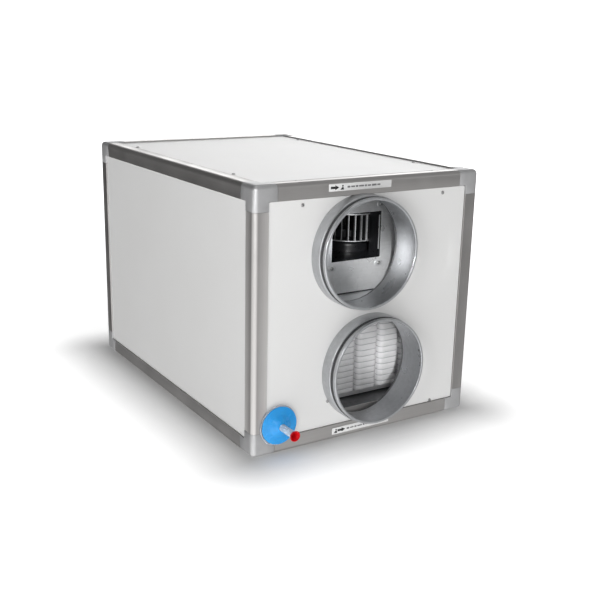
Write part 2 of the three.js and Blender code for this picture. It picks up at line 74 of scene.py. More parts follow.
# Duct spigots, in the front's view
TUBE_RADIUS = 119.4 * MM
COLLAR_RADIUS = 124.5 * MM
SHEET = 1.4 * MM
COLLAR_REACH = 27 * MM
TUBE_INNER_END = -26 * MM
SPIGOT_REACH = 44 * MM
PORTS = {"upper": (-30 * MM, 429.5 * MM), "lower": (5 * MM, 159.5 * MM)}

# Fan
FAN_AXIS = Vector((100 * MM, -188 * MM, 0))
FAN_WALL = 3 * MM
FAN_FLOOR = 376 * MM
FAN_TOP = 485 * MM
TONGUE_RADIUS = 81 * MM
TONGUE_ANGLE = math.radians(-86)
SCROLL_RADIUS = 123 * MM
OUTLET_LEFT = FAN_AXIS.x - SCROLL_RADIUS
OUTLET_RIGHT = 106 * MM
OPENING_RIGHT = 114 * MM
INLET_RADIUS = 58 * MM
IMPELLER_RADIUS = 73 * MM
BLADE_COUNT = 28

# Bag filters
POCKETS_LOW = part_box("filter_front_pockets")[0].z
POCKETS_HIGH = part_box("filter_front_pockets")[1].z
STITCH_ROWS = 17
STITCH_PITCH = (POCKETS_HIGH - POCKETS_LOW) / STITCH_ROWS

# Condensate drain
DRAIN = (-231 * MM, 67 * MM)
DRAIN_RADIUS = 8 * MM
ROSETTE_RADIUS = 43 * MM
DRAIN_REACH = 62 * MM

# Cable gland, on the rear panel as seen from behind
GLAND = (200 * MM, 330 * MM)

# Camera: place, degrees to the right, down and of roll, and focal length in millimetres
CAMERA_PLACE = Vector((-1.18105, -1.99337, 0.87137))
CAMERA_ANGLES = (32.45, 15.95, 1.25)
CAMERA_LENS = 55.4
CAMERA_RANGE = 100

# Radiance of the surround
SKY_TOP = 0.38
SKY_HORIZON = 0.6
SKY_LEFT_SHARE = 0.25
SKY_BACK = 2.8
GROUND_DIM = 0.12
GROUND_FRONT = 0.4
GROUND_NEAR = 1.28

# Soft lamps: place, target, diameter, power
LAMPS = {
    "left_key": ((-1.3, -1.25, 0.7), (-HALF_WIDTH, -0.3, 0.35), 0.5, 4.6),
    "front_key": ((-1.4, -2.6, 1.0), (0, -HALF_LENGTH, 0.35), 0.45, 14),
    "overhead": ((0, 0, 3.2), (0, 0, 0.3), 1.4, 8.2),
}

# Beams into the spigots: port, shift to the right, power, degrees to the left and above, the
# beam's radius as a share of the tube's, and how many times as tall as wide it is
BEAMS = {
    "plate_beam": ("upper", 22 * MM, 500, 33, 20, 0.66, 1),
    "bore_beam": ("upper", 2 * MM, 2200, 70, 8, 0.2, 2.4),
    "filter_beam": ("lower", 40 * MM, 180, 34, 12, 0.68, 1),
}
BEAM_REACH = 2.6
BEAM_SOFTNESS = 0.03

# Floor: the radius of its level part, and that of the sweep round it
FLOOR_LEVEL = 16
FLOOR_SWEEP = 24


# ---- Camera ----


def heading(azimuth, elevation):
    """A direction to the rear, `azimuth` radians to the right and `elevation` up."""
    return Vector((math.sin(azimuth) * math.cos(elevation),
                   math.cos(azimuth) * math.cos(elevation), math.sin(elevation)))


def add_camera():
    azimuth, elevation, roll = (math.radians(angle) for angle in CAMERA_ANGLES)
    forward = heading(azimuth, -elevation)
    level = forward.cross(Vector((0, 0, 1))).normalized()
    upright = level.cross(forward)
    right = level * math.cos(roll) + upright * math.sin(roll)
    up = right.cross(forward)
    camera = bpy.data.cameras.new("camera")
    camera.sensor_width = 36
    camera.lens = CAMERA_LENS
    camera.clip_end = CAMERA_RANGE
    holder = bpy.data.objects.new("camera", camera)
    turn = Matrix((right, up, -forward)).transposed().to_4x4()
    holder.matrix_world = Matrix.Translation(CAMERA_PLACE) @ turn
    bpy.context.scene.collection.objects.link(holder)
    bpy.context.scene.camera = holder


add_camera()


# ---- Finishes ----


class Nodes:
    """The shader nodes of one tree."""

    def __init__(self, tree):
        self.tree = tree

    def add(self, kind, **settings):
        node = self.tree.nodes.new("ShaderNode" + kind)
        for setting, value in settings.items():
            setattr(node, setting, value)
        return node

    def feed(self, socket, value):
        if isinstance(value, bpy.types.NodeSocket):
            self.tree.links.new(value, socket)
        else:
            socket.default_value = value

    def maths(self, operation, *values):
        node = self.add("Math", operation=operation)
        for socket, value in zip(node.inputs, values):
            self.feed(socket, value)
        return node.outputs[0]

    def times(self, first, second):
        return self.maths("MULTIPLY", first, second)

    def plus(self, first, second):
        return self.maths("ADD", first, second)

    def minus(self, first, second):
        return self.maths("SUBTRACT", first, second)

    def length(self, first, second):
        return self.maths("SQRT", self.plus(self.times(first, first),
                                            self.times(second, second)))

    def ramp(self, value, start, end, low, high, curve="SMOOTHSTEP"):
        """Maps start..end of a value to low..high."""
        node = self.add("MapRange", interpolation_type=curve)
        for socket, setting in zip(node.inputs, (value, start, end, low, high)):
            self.feed(socket, setting)
        return node.outputs[0]


class Finish(Nodes):
    """A Principled material and the nodes that vary it over the surface."""

    def __init__(self, name, **sockets):
        self.material = bpy.data.materials.new(name)
        self.material.use_nodes = True
        super().__init__(self.material.node_tree)
        self.shader = self.tree.nodes["Principled BSDF"]
        for socket, value in sockets.items():
            self.shader.inputs[socket.replace("_", " ")].default_value = value
        self.point = self.add("TexCoord").outputs["Object"]
        self.normal = None

    def drive(self, socket, value):
        self.feed(self.shader.inputs[socket], value)
        return self

    def coordinates(self):
        parts = self.add("SeparateXYZ")
        self.feed(parts.inputs[0], self.point)
        return parts.outputs

    def pattern(self, kind, size, stretch=(1, 1, 1), **settings):
        """A texture in units of `size`, drawn out by `stretch` along each axis."""
        place = self.add("VectorMath", operation="MULTIPLY")
        self.feed(place.inputs[0], self.point)
        place.inputs[1].default_value = [1 / (size * long) for long in stretch]
        node = self.add(kind, **settings)
        self.feed(node.inputs["Vector"], place.outputs[0])
        node.inputs["Scale"].default_value = 1
        return node

    def noise(self, size, detail=3.0, stretch=(1, 1, 1)):
        node = self.pattern("TexNoise", size, stretch)
        node.inputs["Detail"].default_value = detail
        return node.outputs["Fac"]

    def crystals(self, size):
        """A grey level from 0 to 1 for each cell, as on zinc."""
        grey = self.add("RGBToBW")
        self.feed(grey.inputs[0], self.pattern("TexVoronoi", size).outputs["Color"])
        return grey.outputs[0]

    def wave(self, size, axis, distortion=0.0):
        node = self.pattern("TexWave", size, bands_direction=axis)
        node.inputs["Scale"].default_value = 1 / math.pi
        node.inputs["Distortion"].default_value = distortion
        return node.outputs["Fac"]

    def span(self, value, low, high, start=0.3, end=0.7):
        """Maps start..end of a value evenly to low..high."""
        return self.ramp(value, start, end, low, high, "LINEAR")

    def blend(self, share, first, second):
        node = self.add("Mix", data_type="RGBA")
        self.feed(node.inputs[0], share)
        self.feed(node.inputs[6], first)
        self.feed(node.inputs[7], second)
        return node.outputs[2]

    def shade(self, value, colour, darkest):
        """`colour` times `darkest` to 1, by a value from 0 to 1."""
        ends = [[*(c * share for c in colour), 1] for share in (darkest, 1.0)]
        self.drive("Base Color", self.blend(self.span(value, 0.0, 1.0), *ends))
        return self

    def bump(self, height, depth):
        node = self.add("Bump")
        node.inputs["Distance"].default_value = depth
        self.feed(node.inputs["Height"], height)
        if self.normal:
            self.feed(node.inputs["Normal"], self.normal)
        self.normal = node.outputs["Normal"]
        return self.drive("Normal", self.normal)


def brushed_aluminium(axis):
    """Satin extruded aluminium whose die lines run along `axis`."""
    along = [1, 1, 1]
    along["XYZ".index(axis)] = 120
    finish = Finish(f"aluminium_profile_{axis.lower()}", Metallic=1.0)
    lines = finish.noise(0.8 * MM, 2.0, along)
    smudges = finish.noise(60 * MM, 4.0)
    finish.shade(finish.plus(finish.times(lines, 0.6), finish.times(smudges, 0.4)),
                 (0.5, 0.487, 0.478), 0.88)
    finish.drive("Roughness", finish.span(smudges, 0.3, 0.38))
    return finish.bump(lines, 0.015 * MM).material


def cast_corner():
    """Painted or blasted die casting, a little paler and duller than the profiles."""
    finish = Finish("corner_piece", Metallic=0.75)
    grain = finish.noise(0.5 * MM, 3.0)
    cloud = finish.noise(25 * MM, 3.0)
    finish.shade(cloud, (0.505, 0.506, 0.512), 0.92)
    finish.drive("Roughness", finish.span(grain, 0.42, 0.52))
    return finish.bump(grain, 0.03 * MM).material


def panel_paint():
    """White coil-coated sheet outside, bare galvanised sheet inside with painted shade in its lower
    half, grey foam round the ports.
    """
    finish = Finish("white_panel", Coat_Weight=0.15, Coat_Roughness=0.2)
    x, y, z = finish.coordinates()
    inside = 1.0
    for coordinate, half, middle in zip((x, y, z), HALF, CENTRE):
        offset = finish.maths("ABSOLUTE", finish.minus(coordinate, middle))
        limit = half - PANEL_BACK + PANEL_JOINT
        inside = finish.times(inside, finish.maths("LESS_THAN", offset, limit))
    cloud = finish.noise(180 * MM, 2.0)
    peel = finish.noise(1.6 * MM, 2.0)
    white = finish.blend(finish.span(cloud, 0.0, 1.0),
                         (0.712, 0.71, 0.703, 1), (0.728, 0.727, 0.722, 1))
    spangle = finish.crystals(9 * MM)
    # Painted shade: the zinc below mid-height is far darker than above it, standing in for the shade
    # in the lower chamber.
    painted_shade_zinc = finish.blend(spangle, (0.11, 0.114, 0.118, 1), (0.16, 0.164, 0.17, 1))
    lit_zinc = finish.blend(spangle, (0.3, 0.31, 0.32, 1), (0.4, 0.41, 0.42, 1))
    zinc = finish.blend(finish.maths("GREATER_THAN", z, HEIGHT / 2), painted_shade_zinc, lit_zinc)
    across = finish.times(x, finish.maths("SIGN", y))
    clear = 1.0
    for port_x, port_z in PORTS.values():
        radius = finish.length(finish.plus(across, port_x), finish.minus(z, port_z))
        clear = finish.times(clear, finish.maths("GREATER_THAN", radius,
                                                 COLLAR_RADIUS - 2 * MM))
    end = finish.maths("GREATER_THAN", finish.maths("ABSOLUTE", y),
                       HALF_LENGTH - PANEL_BACK - PANEL_JOINT)
    foam = finish.times(end, finish.minus(1.0, clear))
    white = finish.blend(foam, white, (0.1, 0.1, 0.105, 1))
    finish.drive("Base Color", finish.blend(inside, white, zinc))
    finish.drive("Metallic", finish.times(inside, 0.9))
    finish.drive("Roughness", finish.span(peel, 0.38, 0.46))
    return finish.bump(peel, 0.025 * MM).material


def galvanised(name, colour, rough=(0.24, 0.36), crystal=9 * MM, stretch=None, darkest=0.82,
               metallic=1.0, relief=0.01):
    """Zinc-coated sheet with its spangle, and rolling streaks where it was formed."""
    finish = Finish(name, Metallic=metallic)
    spangle = finish.crystals(crystal)
    streaks = finish.noise(1.5 * MM, 3.0, stretch or (1, 1, 1))
    smudges = finish.noise(45 * MM, 4.0)
    mixed = finish.plus(finish.times(spangle, 0.35),
                        finish.times(streaks, 0.65 if stretch else 0.3))
    finish.shade(mixed, colour, darkest)
    finish.drive("Roughness", finish.span(smudges, *rough))
    return finish.bump(streaks, relief * MM).material


def blade_metal():
    """Dark coated sheet, with a painted highlight where the blades' edges at the impeller's rim would
    catch the light.
    """
    finish = Finish("fan_blades", Metallic=0.7)
    x, y = finish.coordinates()[:2]
    turn = finish.maths("SIGN", y)
    radius = finish.length(*(finish.plus(finish.times(coordinate, turn), centre)
                             for coordinate, centre in zip((x, y), FAN_AXIS)))
    # Painted highlight: the blades turn pale grey within a few millimetres of the rim and stay dark
    # further in.
    rim_highlight = finish.span(radius, 0.0, 1.0, IMPELLER_RADIUS - 5 * MM, IMPELLER_RADIUS - 2.5 * MM)
    blade_mottle = finish.noise(3 * MM, 3.0)
    highlight_grey = finish.blend(finish.span(blade_mottle, 0.0, 1.0), (0.62, 0.63, 0.64, 1), (0.8, 0.81, 0.82, 1))
    finish.drive("Base Color", finish.blend(rim_highlight, (0.03, 0.031, 0.033, 1), highlight_grey))
    finish.drive("Roughness", finish.span(blade_mottle, 0.3, 0.42))
    return finish.bump(blade_mottle, 0.01 * MM).material


def moulded(name, colour, rough, grain=0.02, darkest=0.88, **sockets):
    """Moulded plastic or rubber with a fine grain, slight colour drift and dull patches."""
    finish = Finish(name, **sockets)
    fine = finish.noise(0.7 * MM, 3.0)
    cloud = finish.noise(18 * MM, 3.0)
    finish.shade(cloud, colour, darkest)
    finish.drive("Roughness", finish.span(cloud, *rough))
    return finish.bump(fine, grain * MM).material


def filter_cloth():
    """Needled polyester fleece: woven backing through soft fibres, with painted shade along its
    stitched rows, where the cloth creases in.
    """
    finish = Finish("filter_cloth", Roughness=0.95, Sheen_Weight=0.25, Sheen_Roughness=0.5)
    height = finish.coordinates()[2]
    row = finish.maths("DIVIDE", finish.minus(height, POCKETS_LOW), STITCH_PITCH)
    from_stitch = finish.maths("PINGPONG", row, 0.5)
    threads = finish.times(finish.wave(0.9 * MM, "X", 0.6), finish.wave(0.9 * MM, "Z", 0.6))
    fibres = finish.noise(0.6 * MM, 5.0)
    dust = finish.noise(35 * MM, 4.0)
    mottle = finish.plus(finish.times(dust, 0.7), finish.times(fibres, 0.3))
    cloth = finish.blend(finish.span(mottle, 0.0, 1.0),
                         (0.82, 0.82, 0.83, 1), (0.92, 0.92, 0.93, 1))
    # Painted shade: a thin grey line along each stitched row, in the crease between the puffs.
    finish.drive("Base Color", finish.blend(finish.span(from_stitch, 1.0, 0.0, 0.035, 0.1),
                                            cloth, (0.5, 0.5, 0.52, 1)))
    return finish.bump(threads, 0.12 * MM).bump(fibres, 0.15 * MM).material


def clear_plastic(name, colour, rough, transmission):
    """Milky or clear plastic with faint flow marks."""
    finish = Finish(name, Transmission_Weight=transmission, IOR=1.45)
    flow = finish.noise(5 * MM, 3.0, (1, 4, 1))
    finish.shade(flow, colour, 0.93)
    finish.drive("Roughness", finish.span(flow, *rough))
    return finish.bump(flow, 0.05 * MM).material


def paper(name, colour):
    finish = Finish(name, Roughness=0.55)
    fibres = finish.noise(0.8 * MM, 4.0)
    finish.shade(fibres, colour, 0.94)
    return finish.bump(fibres, 0.01 * MM).material


def floor_paint():
    """Pale studio floor that glows more the further it is from the cabinet, as a cyclorama, with a
    painted contact shadow: darker colour and less glow next to the cabinet's footprint.
    """
    finish = Finish("studio_floor", Roughness=0.9, Emission_Color=(1, 1, 1, 1))
    away = [finish.minus(finish.maths("ABSOLUTE", coordinate), half)
            for coordinate, half in zip(finish.coordinates()[:2], HALF)]
    distance = finish.length(*(finish.maths("MAXIMUM", side, 0.0) for side in away))
    swirl = finish.span(finish.noise(0.9, 2.0), 0.985, 1.0)
    # Painted contact shadow: the floor's colour darkens within 12 cm of the cabinet's footprint.
    grey = finish.span(distance, 0.68, 0.86, 0.0, 0.12)
    tone = finish.add("CombineColor")
    for socket in tone.inputs[:3]:
        finish.feed(socket, finish.times(grey, swirl))
    finish.drive("Base Color", tone.outputs[0])
    # Painted contact shadow in the glow: none at the footprint, rising over the first 16 cm.
    near = finish.span(distance, 0.0, 0.6, 0.0, 0.16)
    far = finish.span(distance, 0.0, 0.8, 0.2, 2.5)
    finish.drive("Emission Strength", finish.plus(near, far))
    return finish.material


PROFILE_FINISH = {axis: brushed_aluminium(axis) for axis in "XYZ"}
CORNER_FINISH = cast_corner()
PAINT = panel_paint()
DUCT_STEEL = galvanised("duct_steel", (0.5, 0.51, 0.525), (0.3, 0.4), 7 * MM, (60, 1, 60),
                        0.86, 0.9, 0.002)
# The bore's own copy of the duct steel, less metallic so that it shows more of the beams' light: a
# lit copy of one material.
LIT_DUCT_BORE = galvanised("duct_bore", (0.46, 0.472, 0.49), (0.26, 0.36), 7 * MM, (60, 1, 60),
                       0.86, 0.65, 0.002)
SHEET_STEEL = galvanised("sheet_steel", (0.78, 0.79, 0.8), (0.26, 0.36), 10 * MM, (60, 8, 1),
                         0.9, 0.6)
WASHER_STEEL = galvanised("washer_steel", (0.8, 0.81, 0.82), (0.26, 0.36), 3 * MM, metallic=0.65)
SCREW_STEEL = galvanised("screw_steel", (0.46, 0.46, 0.46), (0.25, 0.35), 2 * MM)
BLADES = blade_metal()
FOIL = galvanised("exchanger_foil", (0.7, 0.71, 0.72), (0.2, 0.3), 12 * MM, (1, 20, 20))
RUBBER = moulded("rubber", (0.05, 0.051, 0.053), (0.5, 0.7), 0.05)
GASKET = moulded("gasket_foam", (0.2, 0.2, 0.2), (0.8, 0.95), 0.1)
BLACK = moulded("black_plastic", (0.012, 0.0125, 0.014), (0.26, 0.4), 0.03)
GREY = moulded("grey_plastic", (0.15, 0.155, 0.16), (0.4, 0.55), 0.03)
BLUE = moulded("blue_plastic", (0.014, 0.33, 0.8), (0.2, 0.3), 0.015, 0.85,
               Subsurface_Weight=0.1, Subsurface_Scale=0.004)
RED = moulded("red_plastic", (0.6, 0.004, 0.009), (0.3, 0.4), 0.015, 0.9,
              Specular_IOR_Level=0.25)
CLOTH = filter_cloth()
TUBE_PLASTIC = clear_plastic("clear_tube", (0.72, 0.84, 0.97), (0.2, 0.32), 0.35)
SEALANT = clear_plastic("clear_sealant", (0.92, 0.93, 0.95), (0.04, 0.12), 0.7)
LABEL_PAPER = paper("label_paper", (0.74, 0.74, 0.735))
INK = paper("label_ink", (0.016, 0.016, 0.017))
PALE_INK = paper("label_pale_ink", (0.17, 0.17, 0.175))


# ---- Mesh tools ----


def turning(arm, angle):
    return Matrix.Rotation(angle, 2) @ arm


def rounded(points, steps=5):
    """A closed outline of (x, y) points, where (x, y, radius) is a corner rounded by an arc."""
    outline = []
    for index, point in enumerate(points):
        here = Vector(point[:2])
        if len(point) < 3:
            outline.append(here)
            continue
        back = Vector(points[index - 1][:2]) - here
        ahead = Vector(points[(index + 1) % len(points)][:2]) - here
        half = back.angle(ahead) / 2
        reach = min(point[2] / math.tan(half), 0.49 * back.length, 0.49 * ahead.length)
        start = here + back.normalized() * reach
        end = here + ahead.normalized() * reach
        middle = (back.normalized() + ahead.normalized()).normalized()
        centre = here + middle * (reach / math.cos(half))
        sweep = math.copysign(math.pi - 2 * half, (start - centre).cross(end - centre))
        outline += [centre + turning(start - centre, sweep * step / steps)
                    for step in range(steps + 1)]
    return outline


def rectangle(x0, y0, x1, y1, radius=0.0):
    corners = [(x0, y0), (x1, y0), (x1, y1), (x0, y1)]
    return rounded([(*c, radius) for c in corners]) if radius else [Vector(c) for c in corners]


def circle(x, y, radius, sides=64):
    return [Vector((x + radius * math.cos(math.tau * i / sides),
                    y + radius * math.sin(math.tau * i / sides))) for i in range(sides)]


def skin(bm, rings, closed=False):
    """Faces from each ring of vertices to the next. A ring of one vertex makes a tip."""
    sides = max(len(ring) for ring in rings)
    for lower, upper in zip(rings, rings[1:] + (rings[:1] if closed else [])):
        for i in range(sides):
            j = (i + 1) % sides
            corners = [lower[i % len(lower)], lower[j % len(lower)],
                       upper[j % len(upper)], upper[i % len(upper)]]
            distinct = list(dict.fromkeys(corners))
            if len(distinct) > 2:
                bm.faces.new(distinct)


def lathe(profile, sides=128):
    """(radius, height) points turned about Z. They end on the axis or close on themselves."""
    bm = bmesh.new()
    rings = []
    for radius, height in profile:
        count = sides if radius > TINY else 1
        turns = [math.tau * i / sides for i in range(count)]
        rings.append([bm.verts.new((radius * math.cos(t), radius * math.sin(t), height))
                      for t in turns])
    skin(bm, rings, closed=len(rings[0]) > 1)
    return bm


def signed_area(outline):
    return sum(a.cross(b) for a, b in zip(outline, outline[1:] + outline[:1])) / 2


def slab(outline, low, high, holes=(), edge=0.0):
    """An outline in XY between two heights, with holes and with edges rounded by `edge`."""
    curve = bpy.data.curves.new("outline", "CURVE")
    curve.dimensions = "2D"
    curve.fill_mode = "BOTH"
    curve.extrude = (high - low) / 2 - edge
    curve.bevel_depth = edge
    curve.bevel_resolution = 2
    curve.offset = -edge
    for ring, direction in [(outline, 1), *((hole, -1) for hole in holes)]:
        points = ring if signed_area(ring) * direction > 0 else ring[::-1]
        spline = curve.splines.new("POLY")
        spline.points.add(len(points) - 1)
        for target, point in zip(spline.points, points):
            target.co = (point.x, point.y, 0, 1)
        spline.use_cyclic_u = True
    holder = bpy.data.objects.new("outline", curve)
    mesh = bpy.data.meshes.new_from_object(holder)
    bm = bmesh.new()
    bm.from_mesh(mesh)
    bpy.data.objects.remove(holder)
    bpy.data.curves.remove(curve)
    bpy.data.meshes.remove(mesh)
    bmesh.ops.translate(bm, verts=bm.verts, vec=(0, 0, (low + high) / 2))
    bmesh.ops.remove_doubles(bm, verts=bm.verts, dist=TINY)
    return bm


def block(low, high, edge=0.0):
    return slab(rectangle(low[0], low[1], high[0], high[1]), low[2], high[2], edge=edge)


def moved(bm, matrix):
    bmesh.ops.transform(bm, matrix=matrix, verts=bm.verts)
    return bm


def copied(bm, matrix):
    return moved(bm.copy(), matrix)


def joined(parts):
    """All the parts in one mesh, still as separate solids."""
    whole = bmesh.new()
    scratch = bpy.data.meshes.new("scratch")
    for part in parts:
        part.to_mesh(scratch)
        whole.from_mesh(scratch)
        part.free()
    bpy.data.meshes.remove(scratch)
    return whole


def to_object(name, bm, smooth_angle=35):
    bmesh.ops.recalc_face_normals(bm, faces=bm.faces)
    mesh = bpy.data.meshes.new(name)
    bm.to_mesh(mesh)
    bm.free()
    mesh.polygons.foreach_set("use_smooth", [True] * len(mesh.polygons))
    mesh.set_sharp_from_angle(angle=math.radians(smooth_angle))
    holder = bpy.data.objects.new(name, mesh)
    bpy.context.scene.collection.objects.link(holder)
    return holder


def piece(name, bm, material, body="cabinet", stands_for=None):
    """Adds a finished piece of the object, and hides the CAD node that it stands for."""
    holder = to_object(name, bm)
    holder.data.materials.append(material)
    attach(holder, body)
    if stands_for:
        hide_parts(stands_for)
    return holder


# Faces of the cabinet: local X runs right, Y up or to the rear, and Z outwards.


def basis(u, v, origin):
    u, v = Vector(u), Vector(v)
    return Matrix.Translation(origin) @ Matrix((u, v, u.cross(v))).transposed().to_4x4()


HALF_TURN = Matrix.Rotation(math.pi, 4, "Z")
FRONT_FACE = basis((1, 0, 0), (0, 0, 1), (0, -HALF_LENGTH, 0))
FACES = {
    "front": FRONT_FACE,
    "back": HALF_TURN @ FRONT_FACE,
    "left": basis((0, -1, 0), (0, 0, 1), (-HALF_WIDTH, 0, 0)),
    "right": basis((0, 1, 0), (0, 0, 1), (HALF_WIDTH, 0, 0)),
    "top": basis((1, 0, 0), (0, 1, 0), (0, 0, HEIGHT)),
    "bottom": basis((-1, 0, 0), (0, 1, 0), (0, 0, 0)),
}
ENDS = {"front": Matrix.Identity(4), "back": HALF_TURN}


def at(x, y, z=0.0):
    return Matrix.Translation((x, y, z))


# ---- Frame ----


def profile_section():
    """Outline and hollow of a profile, whose outer faces lie on x = 0 and y = 0."""
    lip_front = PANEL_BACK + FIT_GAP
    lip_back = lip_front + PROFILE_WALL
    lip_end = FLANGE + LIP
    small = 0.4 * MM
    outline = [
        *rounded([(0, 0, EDGE_RADIUS), (FLANGE, 0), (0, FLANGE)], 18)[:19],
        *rounded([(FLANGE, 0, small), (FLANGE, lip_front, small), (lip_end, lip_front, small),
                  (lip_end, lip_back, small), (lip_back, lip_back, small),
                  (lip_back, lip_end, small), (lip_front, lip_end, small),
                  (lip_front, FLANGE, small), (0, FLANGE, small)], 3),
    ]
    near, far = PROFILE_WALL, FLANGE - PROFILE_WALL
    hollow = rounded([(near, near, EDGE_RADIUS - PROFILE_WALL), (far, near, small),
                      (far, far, small), (near, far, small)], 8)
    return outline, hollow


def add_profile(name):
    low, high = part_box(name)
    along = max(range(3), key=lambda axis: high[axis] - low[axis])
    middle = (low + high) / 2 - CENTRE
    a, b = (axis for axis in range(3) if axis != along)
    inward = {axis: Vector([-math.copysign(1, middle[axis]) * (i == axis) for i in range(3)])
              for axis in (a, b)}
    origin = CENTRE - inward[a] * HALF[a] - inward[b] * HALF[b]
    half_length = (high[along] - low[along]) / 2
    outline, hollow = profile_section()
    bm = slab(outline, -half_length, half_length, [hollow])
    moved(bm, basis(inward[a], inward[b], origin))
    piece(f"{name}_extrusion", bm, PROFILE_FINISH["XYZ"[along]],
          stands_for=name)


def corner_shell():
    """The outside of a corner piece: a cube with a leg on three sides, all square."""
    bm = bmesh.new()
    levels = (0, FLANGE, CORNER_LEG)
    cells = {(0, 0, 0), (1, 0, 0), (0, 1, 0), (0, 0, 1)}
    points = {}
    for cell in cells:
        for axis in range(3):
            for side in (0, 1):
                step = [(2 * side - 1) * (i == axis) for i in range(3)]
                if tuple(c + s for c, s in zip(cell, step)) in cells:
                    continue
                b, c = (axis + 1) % 3, (axis + 2) % 3
                corners = []
                for db, dc in ((0, 0), (1, 0), (1, 1), (0, 1)):
                    key = list(cell)
                    key[axis] += side
                    key[b] += db
                    key[c] += dc
                    key = tuple(key)
                    if key not in points:
                        points[key] = bm.verts.new([levels[k] for k in key])
                    corners.append(points[key])
                bm.faces.new(corners)
    bmesh.ops.recalc_face_normals(bm, faces=bm.faces)
    return bm


def corner_solid():
    """Corner piece at the origin, its three legs along +X, +Y and +Z."""
    bm = corner_shell()
    outer = [edge for edge in bm.edges
             if sum(all(v.co[i] < TINY for v in edge.verts) for i in range(3)) > 1]
    bmesh.ops.bevel(bm, geom=outer, offset=EDGE_RADIUS, segments=16, profile=0.5,
                    affect="EDGES", clamp_overlap=False)
    sharp = [edge for edge in bm.edges if edge.calc_face_angle(0) > math.radians(60)]
    bmesh.ops.bevel(bm, geom=sharp, offset=0.6 * MM, segments=2, profile=0.5,
                    affect="EDGES", clamp_overlap=True)
    tongue_low, tongue_high = PROFILE_WALL + 4 * MM, FLANGE - PROFILE_WALL - 1.4 * MM
    tongue = block((tongue_low, tongue_low, CORNER_LEG - 1 * MM),
                   (tongue_high, tongue_high, CORNER_LEG + 18 * MM), 1 * MM)
    turned = [copied(tongue, Matrix.Rotation(math.tau / 3 * i, 4, (1, 1, 1))) for i in (1, 2)]
    return joined([bm, tongue, *turned])


def add_corner(name, solid):
    low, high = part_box(name)
    middle = (low + high) / 2 - CENTRE
    signs = [math.copysign(1, value) for value in middle]
    inward = [Vector([-signs[axis] * (i == axis) for i in range(3)]) for axis in range(3)]
    origin = CENTRE + Vector([sign * half for sign, half in zip(signs, HALF)])
    if signs[0] * signs[1] * signs[2] > 0:
        inward[0], inward[1] = inward[1], inward[0]
    piece(f"{name}_casting", copied(solid, basis(inward[0], inward[1], origin)),
          CORNER_FINISH, stands_for=name)


def add_frame():
    solid = corner_solid()
    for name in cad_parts:
        if name.startswith(("rail_", "post_")):
            add_profile(name)
        elif name.startswith("corner_"):
            add_corner(name, solid)
    solid.free()


add_frame()


# ---- CAD nodes that stay ----


def dress(name, material, edge, segments=2):
    """Gives a CAD node its finish, and rounds its sharp edges with modifiers."""
    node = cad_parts[name]
    node.data.materials.clear()
    node.data.materials.append(material)
    weld = node.modifiers.new("weld", "WELD")
    weld.merge_threshold = 0.01 * MM
    bevel = node.modifiers.new("edges", "BEVEL")
    bevel.width = edge
    bevel.segments = segments
    bevel.limit_method = "ANGLE"
    bevel.angle_limit = math.radians(50)
    bevel.harden_normals = True


def dress_cad():
    for side in FACES:
        dress(f"panel_{side}", PAINT, 2.2 * MM, 4)
    for end in ENDS:
        for plate in ("fan_plate", "shelf", "filter_closure"):
            dress(f"{plate}_{end}", SHEET_STEEL, 0.4 * MM)
        dress(f"filter_{end}_frame", SHEET_STEEL, 0.6 * MM)
    for name in ("exchanger_end_left", "exchanger_end_right",
                 "partition_lower", "partition_upper"):
        dress(name, SHEET_STEEL, 0.4 * MM)
    dress("condensate_tray", GREY, 1 * MM, 3)


dress_cad()


# ---- Panel joints, screws and labels ----


def add_gaskets():
    """A strip of foam in the joint round each panel."""
    for side, face in FACES.items():
        width = 2 * (HALF_LENGTH if side in ("left", "right") else HALF_WIDTH)
        level = side in ("top", "bottom")
        height = 2 * HALF_LENGTH if level else HEIGHT
        x, y = width / 2 - FLANGE, height / 2 - FLANGE
        middle = 0 if level else HEIGHT / 2
        face_out = 0 if side == "bottom" else -PANEL_RECESS
        rings = [rectangle(-x + gap, middle - y + gap, x - gap, middle + y - gap, PANEL_RADIUS)
                 for gap in (0.15 * MM, PANEL_JOINT - 0.15 * MM)]
        bm = slab(rings[0], -PANEL_BACK + 2 * MM, face_out - 2.4 * MM, [rings[1]])
        body = "top_cover" if side == "top" else "cabinet"
        piece(f"panel_gasket_{side}", moved(bm, face), GASKET, body)


def screw_head(radius, height):
    """A pan head with a cross recess, on Z = 0."""
    dome = to_object("dome", lathe([
        (0, 0), (radius * 0.97, 0), (radius, height * 0.12), (radius * 0.97, height * 0.45),
        (radius * 0.85, height * 0.74), (radius * 0.6, height * 0.93), (0, height),
    ], 40))
    arm, reach = radius * 0.13, radius * 0.58
    cross = to_object("cross", joined([
        block((-reach, -arm, height * 0.35), (reach, arm, height * 2)),
        block((-arm, -reach, height * 0.34), (arm, reach, height * 2.1)),
    ]))
    cut = dome.modifiers.new("recess", "BOOLEAN")
    cut.object = cross
    cut.solver = "EXACT"
    cut.use_self = True
    bpy.context.view_layer.update()
    evaluated = dome.evaluated_get(bpy.context.evaluated_depsgraph_get())
    bm = bmesh.new()
    bm.from_mesh(evaluated.to_mesh())
    for scratch in (dome, cross):
        mesh = scratch.data
        bpy.data.objects.remove(scratch)
        bpy.data.meshes.remove(mesh)
    return bm


def screws_at(head, places, out):
    """Copies of a screw head at (x, y) places, each turned differently, `out` from the face."""
    return joined([
        copied(head, at(x, y, out) @ Matrix.Rotation(0.7 * index + 0.3, 4, "Z"))
        for index, (x, y) in enumerate(places)
    ])


